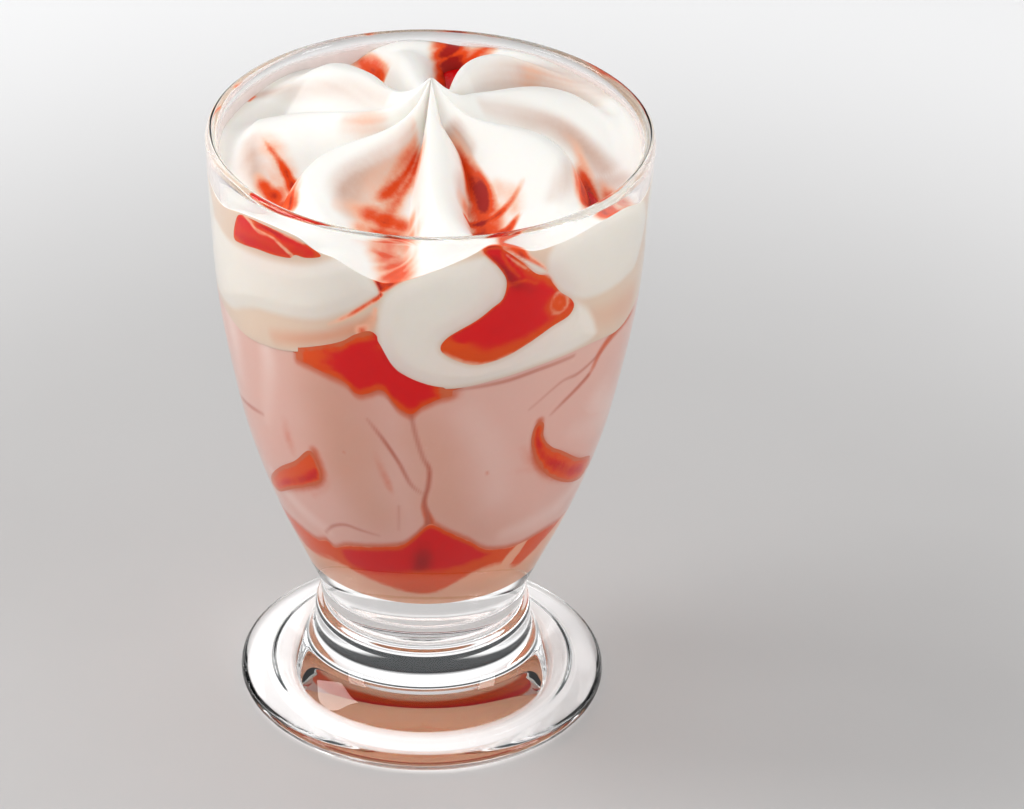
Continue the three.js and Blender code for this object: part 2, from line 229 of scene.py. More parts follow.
def rounded(points, closed=True, steps=8):  # a smooth path through given points
    points = np.array(points, float)
    count = len(points)
    path = []
    for i in range(count if closed else count - 1):
        around = [i - 1, i, i + 1, i + 2]
        if closed:
            around = [j % count for j in around]
        else:
            around = [min(max(j, 0), count - 1) for j in around]
        before, start, end, after = points[around]
        for t in np.arange(steps) / steps:
            path.append(0.5 * (
                2 * start + (end - before) * t
                + (2 * before - 5 * start + 4 * end - after) * t * t
                + (3 * start - before - 3 * end + after) * t ** 3
            ))
    if not closed:
        path.append(points[-1])
    return np.array(path)


def distanceTo(u, v, path, closed):  # distance from points to a path, and how far along the nearest spot is
    best = np.full(u.shape, np.inf)
    along = np.zeros(u.shape)
    count = len(path)
    for i in range(count if closed else count - 1):
        start, end = path[i][:2], path[(i + 1) % count][:2]
        step = end - start
        length = max(step @ step, tiny ** 2)
        t = np.clip(((u - start[0]) * step[0] + (v - start[1]) * step[1]) / length, 0.0, 1.0)
        far = np.hypot(u - start[0] - t * step[0], v - start[1] - t * step[1])
        nearer = far < best
        best = np.where(nearer, far, best)
        along = np.where(nearer, i + t, along)
    return best, along


def insideBy(u, v, path):  # distance to a closed path, positive inside
    far, _ = distanceTo(u, v, path, True)
    inside = np.zeros(u.shape, bool)
    count = len(path)
    for i in range(count):
        (x0, y0), (x1, y1) = path[i][:2], path[(i + 1) % count][:2]
        crosses = (y0 > v) != (y1 > v)
        if y0 != y1:
            inside ^= crosses & (u < x0 + (v - y0) / (y1 - y0) * (x1 - x0))
    return np.where(inside, far, -far)


def stroke(u, v, points):  # points are (u, v, half width, strength); the value fades outwards
    path = rounded(points, closed=False, steps=6)
    far, along = distanceTo(u, v, path, False)
    i = np.clip(along.astype(int), 0, len(path) - 2)
    t = along - i
    width = mix(path[i, 2], path[i + 1, 2], t)
    strength = mix(path[i, 3], path[i + 1, 3], t)
    return fadeOut(far / np.maximum(width, tiny), 0.0, 1.0, strength)


def strokes(u, v, many):
    return np.max([stroke(u, v, points) for points in many], axis=0)


bowl = {
    "height": 110.0,
    "wall": 2.0,
    "bottom": 25.5,
    "rounding": 9.5,  # height of the rounding at the bottom of the inside
    "lip": 1.2,
    "stations": [  # (height, outer radius)
        (21.6, 18.3), (29.4, 21.8), (39.4, 26.1), (49.4, 29.7), (59.3, 32.4), (79.3, 36.0), (99.2, 37.5),
        (108.8, 38.0),
    ],
    "sectors": 256,
}
bowlRadius = throughStations(bowl["stations"])


def innerRadius(z):
    z = np.asarray(z, float)
    short = np.clip((bowl["bottom"] + bowl["rounding"] - z) / bowl["rounding"], 0.0, 1.0)
    return (bowlRadius(z) - bowl["wall"]) * np.sqrt(1 - short * short)


def place(angle, radius, z):
    angle = np.radians(angle)
    return np.stack(np.broadcast_arrays(radius * np.sin(angle), -radius * np.cos(angle), z), axis=-1)


def angleOf(x, y):
    return np.degrees(np.arctan2(x, -y))


wallScale = 0.6  # millimetres along the wall for each degree


def onWall(angle, centre):  # angle as a distance along the wall, unrolled evenly round the centre
    return (np.mod(np.asarray(angle, float) - centre + 180, 360) - 180 + centre) * wallScale


def wallPath(outline, steps=8):
    return rounded([(angle * wallScale, z) for angle, z in outline], steps=steps)


def ringShell(rows, low, high):  # rows of points round the axis, closed by a single point at each end
    rows = np.array(rows)
    levels, sectors = rows.shape[:2]
    points = np.concatenate([rows.reshape(-1, 3), [low, high]])
    lowSpot, highSpot = levels * sectors, levels * sectors + 1
    here = np.arange(sectors)
    ahead = (here + 1) % sectors
    faces = []
    for level in range(levels - 1):
        base, above = level * sectors, (level + 1) * sectors
        faces += np.stack([base + here, base + ahead, above + ahead, above + here], axis=1).tolist()
    top = (levels - 1) * sectors
    faces += [(int(j), int(i), lowSpot) for i, j in zip(here, ahead)]
    faces += [(int(top + i), int(top + j), highSpot) for i, j in zip(here, ahead)]
    return {"points": points, "faces": faces, "fields": {}}


def sheetShell(front, behind):  # two grids of points, joined round their edge
    rows, columns = front.shape[:2]
    count = rows * columns
    index = np.arange(count).reshape(rows, columns)
    quads = np.stack([index[:-1, :-1], index[:-1, 1:], index[1:, 1:], index[1:, :-1]], axis=-1)
    quads = quads.reshape(-1, 4)
    border = np.concatenate([index[0], index[1:, -1], index[-1, -2::-1], index[-2:0:-1, 0]])
    ahead = np.roll(border, -1)
    faces = quads.tolist() + (quads[:, ::-1] + count).tolist()
    faces += np.stack([ahead, border, border + count, ahead + count], axis=1).tolist()
    points = np.concatenate([front.reshape(-1, 3), behind.reshape(-1, 3)])
    return {"points": points, "faces": faces, "fields": {}}


def makePiece(name, shells, finishes, nodes, faceFinish=None, sharpFrom=None):
    points, faces, fields = [], [], {}
    count = 0
    for shell in shells:
        faces += [tuple(int(i) + count for i in face) for face in shell["faces"]]
        points.append(shell["points"])
        count += len(shell["points"])
    for key in shells[0]["fields"]:
        fields[key] = np.concatenate([shell["fields"][key] for shell in shells])
    mesh = bpy.data.meshes.new(name)
    mesh.from_pydata((np.concatenate(points) * mm).tolist(), [], faces)
    mesh.update()
    mesh.polygons.foreach_set("use_smooth", [True] * len(mesh.polygons))
    for key, values in fields.items():
        layer = mesh.attributes.new(key, "FLOAT", "POINT")
        layer.data.foreach_set("value", np.asarray(values, np.float32))
    for finish in finishes:
        mesh.materials.append(finish)
    if faceFinish is not None:
        mesh.polygons.foreach_set("material_index", [int(i) for i in faceFinish])
    if sharpFrom is not None:
        mesh.set_sharp_from_angle(angle=math.radians(sharpFrom))
    piece = bpy.data.objects.new(name, mesh)
    bpy.context.collection.objects.link(piece)
    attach(piece, "root")
    if nodes:
        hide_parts(*nodes)
    print("made", name, "with", len(mesh.polygons), "faces")


glassLook = {
    "refraction": 1.5,
    # the foot's outline from the middle of its underside: runs of (radius, height) that meet in creases
    "footRuns": [
        [(0, 1.5), (24.6, 1.5)],
        [(24.6, 1.5), (25.4, 1.3), (26.2, 0.4), (27, 0)],
        [(27, 0), (30.6, 0)],
        [(30.6, 0), (31.6, 0.35), (32.25, 1.1), (32.4, 2.0), (31.8, 2.9), (29.8, 3.6), (27.0, 4.3),
         (25.2, 5.1), (22.6, 6.8), (20.6, 8.8), (19.5, 11.4), (19.1, 15.2)],
        [(19.1, 15.2), (18.8, 16.1), (17.9, 16.8), (17.7, 17.3), (18.0, 18.1), (18.2, 18.9)],
        [(18.2, 18.9), (18.2, 21)],
        [(18.2, 21), (18.25, 21.4), (18.6, 22.1), (19.15, 23.4)],
    ],
    "wallFrom": 24.5,  # height where the foot's outline goes over into the bowl's
    "insideTo": 36.0,  # height where the rounding of the bowl's bottom begins on the inside
    "roundingTurns": (84, 6),
    "steps": {"foot": 6, "outside": 60, "lip": 14, "inside": 56, "rounding": 16},
}


def glassProfile():
    steps = glassLook["steps"]
    points = [glassLook["footRuns"][0][0]]
    for run in glassLook["footRuns"]:
        points += [tuple(p) for p in rounded(run, closed=False, steps=steps["foot"])[1:]]
    top = bowl["height"] - bowl["lip"]
    points += [(float(bowlRadius(z)), z) for z in np.linspace(glassLook["wallFrom"], top, steps["outside"])]
    half = bowl["wall"] / 2
    middle = float(bowlRadius(bowl["height"])) - half
    for turn in np.radians(np.linspace(0, 180, steps["lip"])[1:-1]):
        points.append((middle + half * math.cos(turn), top + bowl["lip"] * math.sin(turn)))
    points += [(float(innerRadius(z)), z) for z in np.linspace(top, glassLook["insideTo"], steps["inside"])]
    for turn in np.radians(np.linspace(*glassLook["roundingTurns"], steps["rounding"])):
        z = bowl["bottom"] + bowl["rounding"] * (1 - math.cos(turn))
        points.append((float(innerRadius(z)), z))
    points.append((0.0, bowl["bottom"]))
    return points


def glassFinish():
    finish = Finish("clearGlass")
    glass = finish.node(
        "ShaderNodeBsdfGlass", {},
        {"Color": (1, 1, 1, 1), "Roughness": 0.0, "IOR": glassLook["refraction"]},
    )
    clear = finish.node("ShaderNodeBsdfTransparent", {}, {"Color": (1, 1, 1, 1)})
    lamp = finish.node("ShaderNodeLightPath", out="Is Shadow Ray")
    return finish.done(finish.node("ShaderNodeMixShader", {}, {0: lamp, 1: glass, 2: clear}))


def makeGlass():
    profile = glassProfile()
    angles = np.arange(bowl["sectors"]) * 360 / bowl["sectors"]
    rows = [place(angles, r, z) for r, z in profile[1:-1]]
    shell = ringShell(rows, (0, 0, profile[0][1]), (0, 0, profile[-1][1]))
    makePiece("sundaeGlass", [shell], [glassFinish()], ["glass"])


makeGlass()

layers = {  # heights where they meet the wall, and the depth of the middle sauce, as (angle, height)
    "sauceBottomTop": [
        (-165, 42), (-140, 39.5), (-115, 41.5), (-90, 41), (-70, 40.2), (-57, 39.9), (-46, 39.4),
        (-40.5, 40.5), (-37, 39.5), (-31, 41.2), (-24, 42.2), (-16.6, 43.1), (-7.3, 44.6), (-2.9, 47),
        (0.5, 49.4), (2.6, 50), (7.8, 48.1), (16, 45.2), (20.5, 43.2), (25, 41.8), (31, 41), (39, 40.6),
        (46, 40.9), (54, 41), (67, 40.4), (80, 41.5), (95, 39.5), (125, 43.5), (150, 41), (166, 44.5),
        (177, 48.5),
    ],
    "creamFoot": [
        (-165, 86), (-150, 88), (-130, 82.5), (-105, 84), (-80, 81.5), (-60, 80.2), (-45, 81.6),
        (-38, 82.9), (-30, 85), (-23, 87.2), (-18.9, 89.2), (-14, 89.9), (-9, 84.6), (-3, 81.6), (6, 80.3),
        (20, 81.4), (34, 82.4), (50, 82.4), (66, 81), (90, 83.5), (115, 80.8), (140, 86), (160, 88.5),
        (177, 83),
    ],
    "middleSauceDepth": [
        (-170, 6.5), (-152, 3), (-132, 0.9), (-90, 0.9), (-44, 0.9), (-40, 1.1), (-34, 2.8), (-27, 5.6),
        (-22.4, 8), (-19.5, 11.2), (-15, 11.6), (-10.8, 7.9), (-7.4, 7.8), (-3.8, 7.0), (-1.1, 4.6),
        (3.7, 2.2), (8, 1.5), (14, 1.0), (20, 0.9), (60, 0.9), (100, 0.9), (138, 0.9), (150, 3.4),
        (165, 8.5),
    ],
    "creamContact": [
        (-170, 108.4), (-163, 107.2), (-156, 105), (-147, 106), (-136, 106.6), (-122, 106), (-110, 105.8),
        (-97, 105.8), (-82, 103.6), (-68, 102.8), (-58, 104.6), (-50, 105.7), (-42, 106.1), (-35, 105.8),
        (-30, 104.4), (-24, 103.8), (-12.5, 100.8), (-6, 101.6), (2, 103.8), (9, 105.8), (16, 107.8),
        (22, 106.8), (28, 105.4), (36, 105.6), (48, 106.4), (60, 106), (72, 103.8), (88, 105.6),
        (104, 107.4), (124, 107.4), (140, 107.8), (154, 108.4), (164, 108.0), (172, 107.6), (180, 108.2),
        (186, 108.5),
    ],
    "columns": 560,
    "rowStep": 0.4,
    "closeRow": 0.002,  # share of the height; close rows at both ends keep the shading even
}
sauceBottomEdge = throughStations(layers["sauceBottomTop"], 360)
creamFootEdge = throughStations(layers["creamFoot"], 360)
middleSauceEdge = throughStations(layers["middleSauceDepth"], 360)
creamContactEdge = throughStations(layers["creamContact"], 360)
columnAngles = np.arange(layers["columns"]) * 360 / layers["columns"]


def sideRows(low, high, into):  # rows up the wall between two heights for each column
    count = int(np.ceil(np.max(high - low) / layers["rowStep"])) + 1
    rows = []
    near = layers["closeRow"]
    for share in np.sort(np.append(np.linspace(0, 1, count), [near, 1 - near])):
        z = mix(low, high, share)
        deep = into(columnAngles, z) if callable(into) else into
        rows.append(place(columnAngles, innerRadius(z) + deep, z))
    return rows


def inwards(z, depth, shift=0.0):  # a row that leads from the wall into the glass
    return place(columnAngles, innerRadius(z) - depth, z + shift)


def wallFieldsOf(shell, fields):  # works out fields from each point's angle and height
    x, y, z = shell["points"].T
    for key, value in fields.items():
        shell["fields"][key] = value(angleOf(x, y), z)


def wallStrokes(many):
    def value(angle, z):
        values = []
        for points in many:
            centre = points[len(points) // 2][0]
            scaled = [(a * wallScale, *rest) for a, *rest in points]
            values.append(stroke(onWall(angle, centre), z, scaled))
        return np.max(values, axis=0)

    return value


def insideOutline(outline):  # gives how far inside an outline on the wall a spot is
    centre = sum(angle for angle, z in outline) / len(outline)
    path = wallPath(outline)

    def value(angle, z):
        return insideBy(onWall(angle, centre), z, path)

    return value


sauceLook = {
    "deep": tone(212, 0, 10),
    "dark": tone(140, 6, 8),
    "orange": tone(218, 82, 0),
    # pale tone of thin sauce; low in the bowl it also paints in light that comes up through the glass foot
    "thin": tone(232, 176, 146),
    "smeared": tone(205, 106, 66),
    "mottle": (1.6, 3.0, 0.6),  # as the size of the spots in mm, detail and roughness
    "drift": (6.0,),
    "uneven": {"thin": 0.5, "smeared": 1.0},
    "mottledDark": 0.3,
    # strengths between which each tone sets in
    "thinFrom": (0.1, 0.95),
    "paleFrom": (0.25, 0.85),
    "darkFrom": (0.05, 0.9),
    "surface": {
        "Subsurface Weight": 0.15,
        "Subsurface Scale": 1.5 * mm,
        "Subsurface Radius": (1.0, 0.2, 0.1),
    },
    "glossy": {"Roughness": 0.2, "Specular IOR Level": 0.25},
    "matt": {"Roughness": 0.5, "Specular IOR Level": 0.0},
    "bumps": {"glossy": 0.5, "matt": 0.05},
    "bumpStrength": 0.5,
}


def sauceFinish(name, gloss="matt", edge="thin"):
    finish = Finish(name)
    mottle = finish.noise(*sauceLook["mottle"])
    drift = finish.noise(*sauceLook["drift"])
    strength = sauceLook["uneven"][edge]
    uneven = (mottle - 0.5) * strength + (drift - 0.5) * strength
    mottledDark = finish.field("dark") + (mottle - 0.5) * sauceLook["mottledDark"]
    dark = finish.fade(mottledDark, *sauceLook["darkFrom"])
    thin = finish.fade(finish.field("thin") + uneven, *sauceLook["thinFrom"])
    pale = finish.fade(finish.field("pale") + uneven, *sauceLook["paleFrom"])
    colour = finish.blend(dark, sauceLook["deep"], sauceLook["dark"])
    colour = finish.blend(thin, colour, sauceLook["orange"])
    colour = finish.blend(pale, colour, sauceLook[edge])
    normal = finish.bump(mottle, sauceLook["bumps"][gloss], sauceLook["bumpStrength"])
    surface = {**sauceLook["surface"], **sauceLook[gloss]}
    return finish.coated(surface, **{"Base Color": colour, "Normal": normal})


wallSauce = sauceFinish("pressedSauce")
smearedSauce = sauceFinish("smearedSauce", edge="smeared")
poolSauce = sauceFinish("glossySauce", gloss="glossy")

bottomLook = {
    "reach": 0.4,  # how far it reaches into the glass, so that no gap shows between them
    "roundingTurns": (6, 84),
    "roundingSteps": 18,
    "rim": (1.0, -0.1),  # how far its top edge goes inwards, and how much lower it lies there
    "top": (0.5, 38.0, 37.0),  # share of the radius, height there and height in the middle
    # fades as (from, to, strength)
    "thinRim": (0.2, 2.0),
    "thinBesideCores": (-1.6, 1.6),
    "paleRim": (-0.2, 0.9, 0.55),
    "paleFade": (-1.6, 2.2),
    "paleWave": (0.5, 7, 40),  # height, waves round the glass, angle that they start from
    "cores": [  # outlines of the deep red parts, as (angle, height)
        [(-33, 39.6), (-29, 41.4), (-16.6, 43.8), (-7, 45.6), (-1, 51), (4, 52), (9, 49.4), (16, 46.4),
         (22, 43.8), (26.5, 41.4), (23.6, 39.9), (17.8, 39.2), (11.2, 38.2), (-1.4, 37.6), (-8, 36.8),
         (-18.6, 35.8), (-28, 35.8), (-33, 37.6)],
        [(104, 37.6), (108, 39.6), (116, 42.4), (124, 45.6), (129, 43), (138, 40.6), (147, 40.4),
         (150, 38.4), (146, 36.4), (132, 35.8), (116, 35.8)],
        [(192, 38), (189, 41), (182, 47), (177, 50), (172, 48), (166, 44.4), (162, 41), (166, 38.4),
         (178, 37)],
        [(222, 37), (228, 39.6), (236, 42), (244, 40.8), (254, 40), (261, 39.8), (263, 37.6), (252, 36.2),
         (236, 35.6), (226, 35.8)],
    ],
    # below this level the sauce turns pale: thin sauce, and painted light for the light that comes up
    # through the glass foot
    "paleLevel": [
        (-180, 33), (-90, 33), (-70, 36.2), (-62, 34.2), (-54, 33.6), (-45, 34.0), (-36, 34.8), (-28, 34),
        (-19, 33), (-10, 31.4), (0, 30.2), (8, 31.2), (14, 33.6), (20, 35.8), (26, 37), (32, 37.4),
        (38, 36), (44, 34), (50, 35.2), (56, 37), (62, 38.8), (68, 40.4), (80, 39.5), (95, 36), (130, 33),
        (150, 34.5), (170, 32),
    ],
    # angle, height, half width, strength
    "paleStripes": [
        [(43, 42, 1.8, 0.9), (40, 39.3, 2.8, 1.3), (37.1, 36.9, 3.2, 1.4), (35, 34, 3.2, 1.4)],
        [(-50, 35.4, 1.2, 0.3), (-40, 35.6, 1.6, 0.45), (-30, 34.6, 1.2, 0.3)],
        [(66, 41.5, 1.6, 0.8), (74, 41, 2.4, 1.0), (84, 41, 2.0, 0.6)],
        [(150, 42, 1.6, 0.6), (154, 38.4, 2.6, 1.0), (158, 35, 2.8, 1.1)],
        [(206, 42, 1.6, 0.5), (210, 39, 2.4, 1.0), (212, 36, 2.6, 1.1)],
        [(268, 41, 1.6, 0.6), (272, 38, 2.4, 1.0)],
    ],
    "darkSpots": [
        [(0.1, 44.4, 3.6, 0.3), (-0.6, 40.6, 5.4, 0.6), (-1.4, 37.3, 4.0, 0.5)],
        [(-2.0, 36, 4.0, 0.5), (-5, 33.4, 3.0, 0.4)],
    ],
}


def makeBottomSauce():
    low, into = bowl["bottom"], bottomLook["reach"]
    rows = []
    for turn in np.radians(np.linspace(*bottomLook["roundingTurns"], bottomLook["roundingSteps"])):
        z = low + bowl["rounding"] * (1 - math.cos(turn))
        radius = float(innerRadius(z)) + into * math.sin(turn)
        rows.append(place(columnAngles, radius, z - into * math.cos(turn)))
    edge = sauceBottomEdge(columnAngles)
    rows += sideRows(np.full(columnAngles.shape, low + bowl["rounding"]), edge, into)
    rows.append(inwards(edge, *bottomLook["rim"]))
    share, shoulder, middle = bottomLook["top"]
    rows.append(place(columnAngles, share * innerRadius(edge), shoulder))
    shell = ringShell(rows, (0, 0, low - into), (0, 0, middle))

    cores = [insideOutline(outline) for outline in bottomLook["cores"]]
    paleLevel = throughStations(bottomLook["paleLevel"], 360)
    stripes = wallStrokes(bottomLook["paleStripes"])

    def thin(angle, z):
        rim = fadeOut(sauceBottomEdge(angle) - z, *bottomLook["thinRim"])
        inside = np.max([core(angle, z) for core in cores], axis=0)
        return np.maximum(fadeOut(inside, *bottomLook["thinBesideCores"]), rim)

    # paler towards the bottom: thin sauce, with painted light from below
    def pale(angle, z):
        swing, waves, turned = bottomLook["paleWave"]
        level = paleLevel(angle) + swing * np.sin(np.radians(angle * waves + turned))
        below, above = bottomLook["paleFade"]
        foot = fadeOut(z, level + below, level + above)
        rim = fadeOut(sauceBottomEdge(angle) - z, *bottomLook["paleRim"])
        return np.max([foot, stripes(angle, z), rim], axis=0)

    wallFieldsOf(shell, {"thin": thin, "pale": pale, "dark": wallStrokes(bottomLook["darkSpots"])})
    makePiece("bottomSauce", [shell], [wallSauce], ["sauce_bottom"])


middleLook = {
    "reach": (0.05, 0.36),  # how far it reaches into the glass where it is thin, and where it is thick
    "thick": (1.0, 2.0),  # depths between which it thickens; thin sauce lies behind the ice cream
    "overlaps": (0.1, 0.8),  # from its lower edge upwards, and behind the foot of the cream
    "rims": ((1.0, 0.05), (1.0,)),  # how far the lower and upper edge go inwards, and how much higher
    "middle": (84.5, 86.5),
    # fades as (from, to, strength), by the depth and from the lower and upper edge
    "thin": {"depth": (1.6, 4.4), "lower": (0.2, 2.4), "upper": (0.0, 2.0, 0.8)},
    "pale": {"depth": (1.4, 3.0, 1.3), "lower": (-0.1, 0.9, 0.75), "upper": (-0.2, 0.6, 0.6)},
    "upperFrom": (-12, -17),  # angles between which the fade from the upper edge sets in
    "orangePart": ((-22, -34), (-70, -60), 1.1),  # angles where it begins and ends, strength
}


def middleFades(angle, z, fades):
    foot, depth = creamFootEdge(angle), middleSauceEdge(angle)
    lower = fadeOut(z - (foot - depth), *fades["lower"])
    upper = fadeOut(foot - z, *fades["upper"]) * smooth(*middleLook["upperFrom"], angle)
    return np.maximum(fadeOut(depth, *fades["depth"]), lower + upper)


def makeMiddleSauce():
    foot, depth = creamFootEdge(columnAngles), middleSauceEdge(columnAngles)
    low = foot - depth + middleLook["overlaps"][0]
    high = foot + middleLook["overlaps"][1]
    into = mix(*middleLook["reach"], smooth(*middleLook["thick"], depth))
    lowerRim, upperRim = middleLook["rims"]
    rows = [inwards(low, *lowerRim), *sideRows(low, high, into), inwards(high, *upperRim)]
    shell = ringShell(rows, *((0, 0, z) for z in middleLook["middle"]))

    def thin(angle, z):
        begins, ends, strength = middleLook["orangePart"]
        orangePart = strength * smooth(*begins, angle) * smooth(*ends, angle)
        return np.maximum(orangePart, middleFades(angle, z, middleLook["thin"]))

    def pale(angle, z):
        return middleFades(angle, z, middleLook["pale"])

    wallFieldsOf(shell, {"thin": thin, "pale": pale})
    makePiece("middleSauce", [shell], [smearedSauce], ["sauce_middle"])


makeBottomSauce()
makeMiddleSauce()

